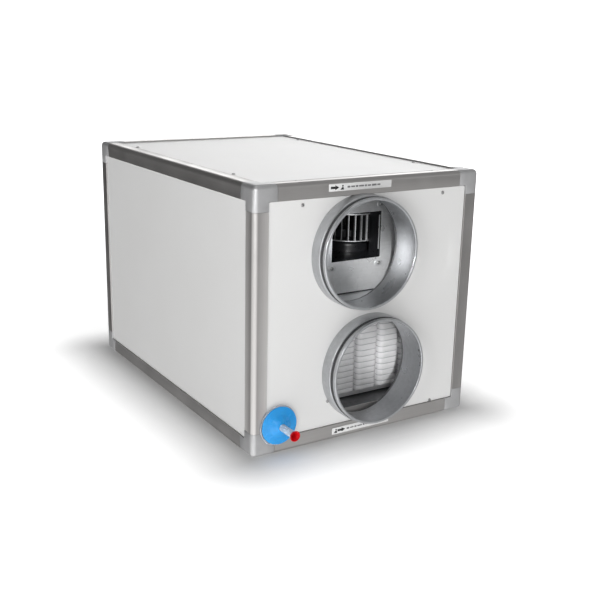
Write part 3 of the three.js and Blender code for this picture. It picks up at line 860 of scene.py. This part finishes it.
def add_panel_screws():
    head = screw_head(4 * MM, 2.4 * MM)
    low, high, side = 39 * MM, 539.5 * MM, 193 * MM
    spots = {
        "front": [(-179 * MM, high), (side, high), (side, low), (-103 * MM, 95 * MM)],
        "back": [(-side, high), (side, high), (side, low), (-side, low)],
        "right": [(x, y) for x in (-340 * MM, 340 * MM) for y in (45 * MM, 542 * MM)],
        "top": [(x, y) for x in (-246 * MM, 246 * MM) for y in (-246 * MM, 282 * MM)],
    }
    for side_name, places in spots.items():
        bm = moved(screws_at(head, places, -PANEL_RECESS + 0.05 * MM), FACES[side_name])
        body = "top_cover" if side_name == "top" else "cabinet"
        piece(f"panel_screws_{side_name}", bm, SCREW_STEEL, body)
    small = screw_head(2.2 * MM, 1 * MM)
    rail_front, rail_back = -392 * MM, 406 * MM
    places = [(-179 * MM, rail_front), (-167 * MM, rail_front - 4 * MM), (182 * MM, rail_front),
              (-179 * MM, rail_back), (182 * MM, rail_back)]
    piece("rail_screws", moved(screws_at(small, places, -0.98 * MM), FACES["top"]), SCREW_STEEL)
    head.free()
    small.free()


def arrow(x, y, length, half_height):
    """Outline of a block arrow that points right, its tail at (x, y)."""
    neck, shaft = x + length * 0.52, half_height * 0.5
    return [Vector(p) for p in (
        (x, y - shaft), (neck, y - shaft), (neck, y - half_height), (x + length, y),
        (neck, y + half_height), (neck, y + shaft), (x, y + shaft),
    )]


def add_labels():
    """Paper labels with an arrow, and plain bars in place of words."""
    paper_thick, ink_thick = 0.25 * MM, 0.12 * MM
    layouts = {
        "upper": ((-118 * MM, 563 * MM, 162 * MM), 5 * MM, 29 * MM, 47 * MM),
        "lower": ((-90 * MM, 12 * MM, 158 * MM), 15 * MM, 5 * MM, 40 * MM),
    }
    height = 15.5 * MM
    for level, ((x, z, width), arrow_x, sign_x, words_x) in layouts.items():
        middle = z + height / 2
        sheet = slab(rectangle(x, z, x + width, z + height, 1 * MM),
                     0.02 * MM, paper_thick, edge=0.05 * MM)
        piece(f"label_{level}", moved(sheet, FRONT_FACE), LABEL_PAPER)
        bottom, top = paper_thick - 0.02 * MM, paper_thick + ink_thick
        sign = [
            slab(arrow(x + arrow_x, middle, 21 * MM, 5 * MM), bottom, top),
            slab(circle(x + sign_x + 6 * MM, middle + 2.8 * MM, 1.9 * MM, 24), bottom, top),
            slab([Vector((x + sign_x + dx * MM, middle + dz * MM))
                  for dx, dz in ((0, -5), (9.5, -5), (7.5, 0.2), (4.4, 0.2))], bottom, top),
        ]
        piece(f"label_{level}_sign", moved(joined(sign), FRONT_FACE), INK)
        bars, cursor = [], x + words_x
        for index, word in enumerate((7, 10, 6, 13, 5, 9, 12, 8)):
            end = cursor + word * MM
            if end > x + width - 6 * MM:
                break
            half = (1.6 if index % 2 else 2.0) * MM
            bars.append(slab(rectangle(cursor, middle - half, end, middle + half, 0.8 * MM),
                             bottom, top))
            cursor = end + 2.2 * MM
        piece(f"label_{level}_bars", moved(joined(bars), FRONT_FACE), PALE_INK)


add_gaskets()
add_panel_screws()
add_labels()


# ---- Duct spigots ----


def spigot_profile():
    bore, collar_bore = TUBE_RADIUS - SHEET, COLLAR_RADIUS - SHEET
    foot = -PANEL_RECESS + FIT_GAP
    bead, hem = SPIGOT_REACH - 9.5 * MM, SPIGOT_REACH - 7 * MM
    bead_radius, sleeve = TUBE_RADIUS + 2.4 * MM, TUBE_RADIUS + 0.8 * MM
    fine, small = 0.5 * MM, 1.2 * MM
    return rounded([
        (bore, TUBE_INNER_END, fine), (TUBE_RADIUS, TUBE_INNER_END, fine),
        (TUBE_RADIUS, COLLAR_REACH - 2.5 * MM, fine),
        (collar_bore, COLLAR_REACH - 2.5 * MM, small),
        (collar_bore, foot, fine), (COLLAR_RADIUS, foot, fine),
        (COLLAR_RADIUS, COLLAR_REACH, 2.4 * MM), (sleeve, COLLAR_REACH, fine),
        (sleeve, bead, fine), (bead_radius, bead + 0.8 * MM, 1.4 * MM),
        (bead_radius, SPIGOT_REACH, 1.7 * MM), (bore - 2 * MM, SPIGOT_REACH, 1.6 * MM),
        (bore - 2 * MM, hem, 1 * MM), (bore, hem - 1 * MM, 1 * MM),
    ], 6)


def seal_profile():
    base = TUBE_RADIUS + 1 * MM
    fine = 0.3 * MM
    steps = ((0, 0.6), (2.4, 1.0), (0.9, 2.6), (0.9, 3.2), (2.1, 3.6), (0.8, 6.0), (0, 6.6))
    return rounded([(base + r * MM, COLLAR_REACH + out * MM, fine) for r, out in steps], 3)


def bore_faces(mesh, x, z):
    """The faces of a spigot's mesh that look towards its axis, for the bore's lit copy of the duct
    steel.
    """
    return [face for face in mesh.polygons
            if face.normal.xz.dot(face.center.xz - Vector((x, z))) < -0.3 * TUBE_RADIUS]


def clear_of_rail(bm):
    """Lifts the foot of a collar over the top rail's face where the two overlap."""
    rail_edge = HEIGHT - FLANGE - FIT_GAP
    for vertex in bm.verts:
        out = -HALF_LENGTH - vertex.co.y
        if vertex.co.z > rail_edge and out < FIT_GAP:
            vertex.co.y = -HALF_LENGTH - FIT_GAP - 0.05 * MM
    return bm


def add_spigots():
    for end, turn in ENDS.items():
        for level, (x, z) in PORTS.items():
            bm = clear_of_rail(moved(lathe(spigot_profile(), 180), FRONT_FACE @ at(x, z)))
            spigot = piece(f"spigot_{end}_{level}_rolled", moved(bm, turn), DUCT_STEEL,
                           stands_for=f"spigot_{end}_{level}")
            spigot.data.materials.append(LIT_DUCT_BORE)
            axis_x = (turn @ Vector((x, 0, 0))).x
            for face in bore_faces(spigot.data, axis_x, z):
                face.material_index = 1
            bm = moved(lathe(seal_profile(), 180), turn @ FRONT_FACE @ at(x, z))
            piece(f"seal_{end}_{level}_lips", bm, RUBBER,
                  stands_for=f"seal_{end}_{level}")


add_spigots()


# ---- Fans ----


def scroll(grow):
    """The casing's outline from its tongue round the spiral to the outlet's left side."""
    steps = 90
    points = []
    for step in range(steps + 1):
        share = step / steps
        angle = TONGUE_ANGLE + (math.pi - TONGUE_ANGLE) * share
        radius = TONGUE_RADIUS + (SCROLL_RADIUS - TONGUE_RADIUS) * share + grow
        points.append(FAN_AXIS.xy + radius * Vector((math.cos(angle), math.sin(angle))))
    return points


def add_casing(end, turn):
    outlet_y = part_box("fan_plate_front")[1].y + FIT_GAP
    bottom, top = FAN_FLOOR - FAN_WALL, FAN_TOP + FAN_WALL
    inner = [Vector((OUTLET_RIGHT, outlet_y)), *scroll(0), Vector((OUTLET_LEFT, outlet_y))]
    outer = [Vector((OUTLET_RIGHT + FAN_WALL, outlet_y)), *scroll(FAN_WALL),
             Vector((OUTLET_LEFT - FAN_WALL, outlet_y))]
    inlet = circle(*FAN_AXIS.xy, INLET_RADIUS, 96)
    motor = circle(*FAN_AXIS.xy, 50.6 * MM, 96)
    flange = slab(
        rectangle(OUTLET_LEFT - 14 * MM, FAN_FLOOR - 21 * MM, OPENING_RIGHT + 10 * MM,
                  FAN_TOP + 25 * MM, 2 * MM),
        -FAN_WALL, 0,
        [rectangle(OUTLET_LEFT, FAN_FLOOR, OUTLET_RIGHT, FAN_TOP, 1.5 * MM)], edge=0.4 * MM)
    nozzle = lathe(rounded([
        (INLET_RADIUS, top - 14 * MM, 0.6 * MM), (INLET_RADIUS + 2 * MM, top - 14 * MM, 0.6 * MM),
        (INLET_RADIUS + 2 * MM, top - 2 * MM, 4 * MM), (INLET_RADIUS + 7 * MM, top - 2 * MM),
        (INLET_RADIUS + 7 * MM, top, 0.5 * MM), (INLET_RADIUS, top, 6 * MM),
    ], 6), 96)
    parts = [
        slab(outer, bottom, FAN_FLOOR, [motor], edge=0.5 * MM),
        slab(outer, FAN_TOP, top, [inlet], edge=0.5 * MM),
        slab(outer + inner[::-1], FAN_FLOOR - 0.1 * MM, FAN_TOP + 0.1 * MM),
        moved(flange, basis((1, 0, 0), (0, 0, 1), (0, outlet_y, 0))),
        moved(nozzle, at(*FAN_AXIS)),
    ]
    piece(f"fan_{end}_scroll", moved(joined(parts), turn), BLACK,
          stands_for=f"fan_{end}_casing")


def blade_outline():
    """A forward-curved blade: a thin crescent from its root to its tip along a quarter arc."""
    root, tip, sweep = IMPELLER_RADIUS - 15 * MM, IMPELLER_RADIUS - 0.8 * MM, 6.5 * MM
    steps = 8
    sides = []
    for half in (-0.65 * MM, 0.65 * MM):
        sides.append([Vector((root + (tip - root) * s / steps, half + sweep * (s / steps) ** 2))
                      for s in range(steps + 1)])
    return sides[0] + sides[1][::-1]


def add_impeller(end, turn):
    low, high = (corner.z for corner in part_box(f"fan_{end}_impeller"))
    ring = high - 3 * MM
    blade = slab(blade_outline(), low + 1 * MM, high - 1 * MM)
    parts = [copied(blade, Matrix.Rotation(math.tau * i / BLADE_COUNT, 4, "Z"))
             for i in range(BLADE_COUNT)]
    blade.free()
    root = IMPELLER_RADIUS - 16 * MM
    parts.append(lathe(rounded([
        (root, low, 0.5 * MM), (IMPELLER_RADIUS, low, 0.8 * MM),
        (IMPELLER_RADIUS, low + 2.5 * MM, 0.8 * MM), (root, low + 2.5 * MM, 0.5 * MM),
    ]), 96))
    hub = lathe(rounded([
        (0, low + 0.1 * MM), (root + 1 * MM, low + 0.1 * MM), (root + 1 * MM, low + 2.6 * MM),
        (42 * MM, low + 2.6 * MM, 5 * MM), (36 * MM, low + 24 * MM, 5 * MM), (0, low + 24 * MM),
    ]), 96)
    piece(f"fan_{end}_hub", moved(hub, turn @ at(*FAN_AXIS)), BLACK,
          f"{end}_impeller")
    parts.append(lathe(rounded([
        (IMPELLER_RADIUS - 8 * MM, ring, 0.6 * MM), (IMPELLER_RADIUS, ring, 0.6 * MM),
        (IMPELLER_RADIUS, high, 0.9 * MM), (IMPELLER_RADIUS - 8 * MM, high, 0.9 * MM),
    ]), 96))
    piece(f"fan_{end}_wheel", moved(joined(parts), turn @ at(*FAN_AXIS)),
          BLADES, f"{end}_impeller", f"fan_{end}_impeller")


def add_motor(end, turn):
    low, high = (corner.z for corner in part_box(f"fan_{end}_motor"))
    body, flange = 50 * MM, 58 * MM
    seat = FAN_FLOOR - FAN_WALL - FIT_GAP
    bm = lathe(rounded([
        (0, low), (body, low, 4 * MM), (flange, seat - 3 * MM, 1 * MM), (flange, seat, 0.5 * MM),
        (body, seat, 0.5 * MM), (body, high, 14 * MM), (0, high),
    ], 10), 96)
    piece(f"fan_{end}_motor_shell", moved(bm, turn @ at(*FAN_AXIS)), BLACK,
          stands_for=f"fan_{end}_motor")


def add_fan_plate_details(end, turn):
    """Oval washers with screws, the sealed seam along the shelf, and the outlet's trim."""
    plate_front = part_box("fan_plate_front")[0].y
    face = turn @ basis((1, 0, 0), (0, 0, 1), (0, plate_front, 0))
    places = [(x * MM, z * MM) for x, z in ((-23, 362), (110, 362), (110, 503), (-23, 503))]
    half, tall = 11 * MM, 7 * MM
    washers = [slab(rounded([(x - half, z - tall, tall), (x + half, z - tall, tall),
                             (x + half, z + tall, tall), (x - half, z + tall, tall)],
                            10), 0.02 * MM, 1.8 * MM, edge=0.7 * MM) for x, z in places]
    piece(f"fan_washers_{end}", moved(joined(washers), face), WASHER_STEEL)
    head = screw_head(4.2 * MM, 2.6 * MM)
    piece(f"fan_screws_{end}", moved(screws_at(head, places, 1.6 * MM), face), SCREW_STEEL)
    head.free()
    shelf_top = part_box("shelf_front")[1].z
    seam = block((-255 * MM, shelf_top + 0.05 * MM, 0.05 * MM),
                 (255 * MM, shelf_top + 3.2 * MM, 1.2 * MM), 0.4 * MM)
    piece(f"fan_plate_seam_{end}", moved(seam, face), RUBBER)
    trim = block((OPENING_RIGHT - 6.5 * MM, 395 * MM, -2 * MM),
                 (OPENING_RIGHT - 3.5 * MM, 476 * MM, -0.3 * MM), 0.4 * MM)
    piece(f"outlet_trim_{end}", moved(trim, face), WASHER_STEEL)


for end_name, end_turn in ENDS.items():
    add_casing(end_name, end_turn)
    add_impeller(end_name, end_turn)
    add_motor(end_name, end_turn)
    add_fan_plate_details(end_name, end_turn)


# ---- Bag filters ----


def pocket_section(x0, x1, front, back):
    """One pocket's outline seen from above, as (x, y, share of puff), with a round nose."""
    radius = 11 * MM
    steps = 7
    points = [(x0, back + (front + radius - back) * s / 4, s / 4) for s in range(4)]
    for step in range(steps + 1):
        turn = math.pi / 2 * step / steps
        points.append((x0 + radius * (1 - math.cos(turn)),
                       front + radius * (1 - math.sin(turn)), 1.0))
    flat = 10
    left, right = x0 + radius, x1 - radius
    points += [(left + (right - left) * s / flat, front, 1.0) for s in range(1, flat)]
    mirrored = [(x0 + x1 - x, y, share) for x, y, share in points[:4 + steps + 1]]
    return points + mirrored[::-1]


def cloth_ring(bm, section, middle, z, puff, offset):
    """One level of a pocket's cloth, puffed out and creased."""
    puff_depth, slack = 3 * MM, 0.4 * MM
    ring = []
    for x, y, share in section:
        outward = (Vector((x, y)) - middle).normalized()
        crease = noise.noise(Vector((x, y, z)) * 45 + Vector((offset, 0, 0)))
        wander = noise.noise(Vector((x * 12, y * 12, z * 8))) * 0.6 * MM
        depth = share * ((puff - 1) * puff_depth * (0.75 + 0.5 * crease) + wander - slack)
        ring.append(bm.verts.new((x + outward.x * depth * 0.4, y + outward.y * depth, z)))
    return ring


def add_pockets(end, turn):
    """Seven sewn pockets. The cloth puffs out between its rows of stitches."""
    low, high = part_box("filter_front_pockets")
    count, slit, per_pitch = 7, 4.1 * MM, 10
    pitch, offset = (high.x - low.x) / count, 10 * MM
    bounds = [low.x, *(low.x + offset + pitch * i for i in range(1, count)), high.x]
    rows = STITCH_ROWS * per_pitch
    bm = bmesh.new()
    for index in range(count):
        x0, x1 = bounds[index] + slit, bounds[index + 1] - slit
        section = pocket_section(x0, x1, low.y + 1.2 * MM, high.y - 1 * MM)
        middle = Vector(((x0 + x1) / 2, (low.y + high.y) / 2))
        rings = []
        for row in range(rows + 1):
            z = low.z + (high.z - low.z) * row / rows
            puff = abs(math.sin(math.pi * row / per_pitch)) ** 0.5
            rings.append(cloth_ring(bm, section, middle, z, puff, index * 3.1))
        skin(bm, rings)
        bm.faces.new(rings[0])
        bm.faces.new(rings[-1])
    holder = piece(f"filter_{end}_bags", moved(bm, turn), CLOTH,
                   stands_for=f"filter_{end}_pockets")
    holder.data.set_sharp_from_angle(angle=math.radians(80))


def add_frame_lip(end, turn):
    """The folded lower edge of the filter's frame, in front of the pockets' feet."""
    low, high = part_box("filter_front_frame")
    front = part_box("filter_front_pockets")[0].y + 1 * MM
    lip = block((low.x + 1 * MM, front - 1.6 * MM, low.z + 0.2 * MM),
                (high.x - 1 * MM, front - 0.4 * MM, low.z + 10 * MM), 0.4 * MM)
    piece(f"filter_lip_{end}", moved(lip, turn), SHEET_STEEL)


for end_name, end_turn in ENDS.items():
    add_pockets(end_name, end_turn)
    add_frame_lip(end_name, end_turn)


# ---- Exchanger ----


def add_core():
    """A stack of thin plates on edge, every second one with its air gaps the other way."""
    low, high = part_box("exchanger_core")
    count, thick = 100, 0.5 * MM
    pitch = (high.x - low.x - thick) / (count - 1)
    half, cut = (high.y - low.y) / 2, 3 * MM
    corners = [(half, -cut), (half, cut), (cut, half), (-cut, half),
               (-half, cut), (-half, -cut), (-cut, -half), (cut, -half)]
    outline = [Vector(c) for c in corners]
    face = basis((0, 1, 0), (0, 0, 1), (0, 0, (low.z + high.z) / 2))
    plate = slab(outline, 0, thick)
    plates = [copied(plate, face @ at(0, 0, low.x + pitch * i)) for i in range(count)]
    plate.free()
    fold = 1.2 * MM
    strips = []
    for index in range(count - 1):
        side = 1 if index % 2 else -1
        start, end = Vector((cut, -side * half)), Vector((half, -side * cut))
        for sign in (1, -1):
            ends = [start * sign, end * sign]
            across = (ends[1] - ends[0]).normalized()
            across = Vector((-across.y, across.x)) * fold
            if across.dot(ends[0] + ends[1]) > 0:
                across = -across
            quad = [ends[0], ends[1], ends[1] + across, ends[0] + across]
            x = low.x + pitch * index + thick
            strips.append(moved(slab(quad, 0, pitch - thick), face @ at(0, 0, x)))
    piece("exchanger_plates", joined(plates + strips), FOIL,
          stands_for="exchanger_core")


add_core()


# ---- Condensate drain and cable gland ----


def add_sealant():
    """A bead of clear sealant squeezed out all round behind the rosette, most at its lower left."""
    bm = bmesh.new()
    sides, steps = 144, 12
    lower_left = math.radians(228)
    rings = []
    for i in range(sides):
        angle = math.tau * i / sides
        direction = Vector((math.cos(angle), math.sin(angle), 0))
        lump = noise.noise(direction * 2.3 + Vector((0, 0, 4.2)))
        bulge = max(0, math.cos(angle - lower_left)) ** 4 * (1 + 0.5 * lump)
        radius = (1.45 + 0.3 * lump + 0.25 * bulge) * MM
        centre = ROSETTE_RADIUS + (0.2 + 0.9 * lump + 2.1 * bulge) * MM
        ring = []
        for step in range(steps):
            turn = math.tau * step / steps
            point = direction * (centre + radius * math.cos(turn))
            point.z = 0.05 * MM + radius + radius * math.sin(turn) * 0.95
            ring.append(bm.verts.new(point))
        rings.append(ring)
    skin(bm, rings, closed=True)
    piece("rosette_sealant", moved(bm, FRONT_FACE @ at(*DRAIN)), SEALANT)


def add_drain():
    place = FRONT_FACE @ at(*DRAIN)
    low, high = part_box("drain_pipe")
    inner_end, outer_end = -HALF_LENGTH - high.y, -HALF_LENGTH - low.y
    bore = DRAIN_RADIUS - 1.5 * MM
    fine = 0.4 * MM
    pipe = lathe(rounded([
        (bore, inner_end, fine), (DRAIN_RADIUS, inner_end, fine),
        (DRAIN_RADIUS, outer_end, fine), (bore, outer_end, fine),
    ], 4), 64)
    piece("drain_tube", moved(pipe, place), TUBE_PLASTIC, stands_for="drain_pipe")

    collar, rim = DRAIN_RADIUS + FIT_GAP, ROSETTE_RADIUS
    rosette = lathe(rounded([
        (collar, 12 * MM), (rim - 1 * MM, 3.5 * MM, fine), (rim, 4.4 * MM, 0.8 * MM),
        (rim, 5.6 * MM, 0.8 * MM), (rim - 1.6 * MM, 6.4 * MM, 1 * MM),
        (26 * MM, 10 * MM, 12 * MM), (collar + 5 * MM, 17.6 * MM, 5 * MM),
        (collar + 1.6 * MM, 19 * MM, 1 * MM), (collar, 19 * MM, fine),
    ], 10), 144)
    piece("drain_rosette_moulding", moved(rosette, place), BLUE,
          stands_for="drain_rosette")

    tip = DRAIN_REACH
    cap = lathe(rounded([
        (0, tip - 10 * MM), (5.4 * MM, tip - 10 * MM, 1 * MM), (6 * MM, tip + FIT_GAP),
        (8.6 * MM, tip + FIT_GAP, fine), (9.4 * MM, tip + 1.5 * MM, 1.5 * MM),
        (12 * MM, tip + 7 * MM, 0.8 * MM), (11.7 * MM, tip + 8 * MM, 0.5 * MM),
        (10.4 * MM, tip + 8 * MM, 0.5 * MM), (6.6 * MM, tip + 1 * MM, 2 * MM),
        (3.8 * MM, tip - 8 * MM, 1 * MM), (0, tip - 8 * MM),
    ], 5), 72)
    piece("drain_cap_moulding", moved(cap, place), RED, "drain_cap", "drain_cap")


def add_gland():
    """Threaded body through the rear panel, a hexagonal nut and a domed clamping nut."""
    out = -PANEL_RECESS + FIT_GAP
    thread, nut = 10 * MM, 14 * MM
    bore = 5.5 * MM
    ridges = []
    for step in range(20):
        height = -PANEL_BACK - 3.6 * MM + step * 1.5 * MM
        ridges += [(thread - 0.6 * MM, height), (thread, height + 0.75 * MM)]
    body = lathe([(bore, -PANEL_BACK - 4 * MM), (thread - 0.8 * MM, -PANEL_BACK - 4 * MM),
                  *ridges, (thread - 0.6 * MM, out), (bore, out)], 72)
    dome = lathe(rounded([
        (bore, out + 6 * MM), (nut - 1.6 * MM, out + 6 * MM), (nut - 1.6 * MM, out + 13 * MM, 2 * MM),
        (8 * MM, out + 19 * MM, 2.5 * MM), (bore, out + 19 * MM, 0.8 * MM),
    ], 6), 72)
    hexagon = slab(circle(0, 0, nut, 6), out, out + 6 * MM, [circle(0, 0, bore, 48)],
                   edge=0.5 * MM)
    place = FACES["back"] @ at(*GLAND)
    piece("cable_gland_fitting", moved(joined([body, hexagon, dome]), place), GREY,
          stands_for="cable_gland")


add_sealant()
add_drain()
add_gland()


# ---- Studio ----


def add_floor():
    """A level floor that sweeps up to a wall all round, well away from the cabinet."""
    steps = 16
    sweep = [(FLOOR_LEVEL + FLOOR_SWEEP * math.sin(turn), FLOOR_SWEEP * (1 - math.cos(turn)))
             for turn in (math.pi / 2 * step / steps for step in range(steps + 1))]
    floor = to_object("studio_floor", lathe([(0, 0), *sweep], 96))
    floor.location.z = -0.5 * MM
    floor.data.materials.append(floor_paint())
    floor.visible_glossy = False
    floor.visible_diffuse = False
    floor.visible_shadow = False


def add_lamp(name, kind, place, target, power):
    """A lamp at a place, aimed at a target."""
    light = bpy.data.lights.new(name, kind)
    light.energy = power
    holder = bpy.data.objects.new(name, light)
    holder.location = place
    holder.rotation_euler = (Vector(target) - Vector(place)).to_track_quat("-Z", "Y").to_euler()
    bpy.context.scene.collection.objects.link(holder)
    return holder


def add_soft_light(name, place, target, size, power):
    holder = add_lamp(name, "AREA", place, target, power)
    holder.data.shape = "DISK"
    holder.data.size = size
    holder.visible_camera = False


def add_beam(name, port, shift, power, azimuth, elevation, share, tall):
    """A narrow beam from the front left into a spigot."""
    x, z = PORTS[port]
    target = Vector((x + shift, -HALF_LENGTH - SPIGOT_REACH, z))
    away = heading(math.radians(azimuth), math.radians(-elevation))
    holder = add_lamp(name, "SPOT", target - BEAM_REACH * away, target, power)
    holder.scale.y = tall
    holder.data.shadow_soft_size = BEAM_SOFTNESS
    holder.data.spot_size = 2 * math.atan(TUBE_RADIUS * share / BEAM_REACH)
    holder.data.spot_blend = 1.0


def add_world():
    """A plain surround: dim below behind the left, brighter to the front and at the horizon."""
    world = bpy.data.worlds.new("studio")
    bpy.context.scene.world = world
    world.use_nodes = True
    nodes = Nodes(world.node_tree)
    direction = nodes.add("TexCoord").outputs["Generated"]

    def towards(x, y, z):
        node = nodes.add("VectorMath", operation="DOT_PRODUCT")
        nodes.feed(node.inputs[0], direction)
        node.inputs[1].default_value = Vector((x, y, z)).normalized()
        return node.outputs["Value"]

    ramp = nodes.ramp
    height = towards(0, 0, 1)
    above = ramp(height, -0.03, 0.01, 0.0, 1.0)
    sky = nodes.times(ramp(height, 0.1, 0.6, SKY_HORIZON, SKY_TOP),
                      ramp(towards(-0.75, 0.65, 0), -0.2, 0.8, 1.0, SKY_LEFT_SHARE))
    back = nodes.times(ramp(height, 0.5, 0.2, 0.0, 1.0),
                       ramp(towards(0.75, 0.66, 0), 0.65, 1.0, 0.0, SKY_BACK))
    ground = nodes.plus(ramp(towards(0.55, -0.8, 0), -0.75, 0.9, GROUND_DIM, GROUND_FRONT),
                        ramp(towards(-0.85, -0.5, 0), -0.25, 0.9, 0.0, GROUND_NEAR))
    ground = nodes.times(ground, ramp(height, -0.02, -0.5, 0.6, 1.3))
    total = nodes.plus(nodes.times(above, nodes.plus(sky, back)),
                       nodes.times(nodes.minus(1.0, above), ground))
    background = nodes.tree.nodes["Background"]
    nodes.feed(background.inputs["Strength"], total)
    background.inputs["Color"].default_value = (1, 1, 1, 1)


def add_studio():
    add_floor()
    add_world()
    for name, lamp in LAMPS.items():
        add_soft_light(name, *lamp)
    for name, beam in BEAMS.items():
        add_beam(name, *beam)
    bpy.context.scene.view_settings.view_transform = "Standard"


add_studio()
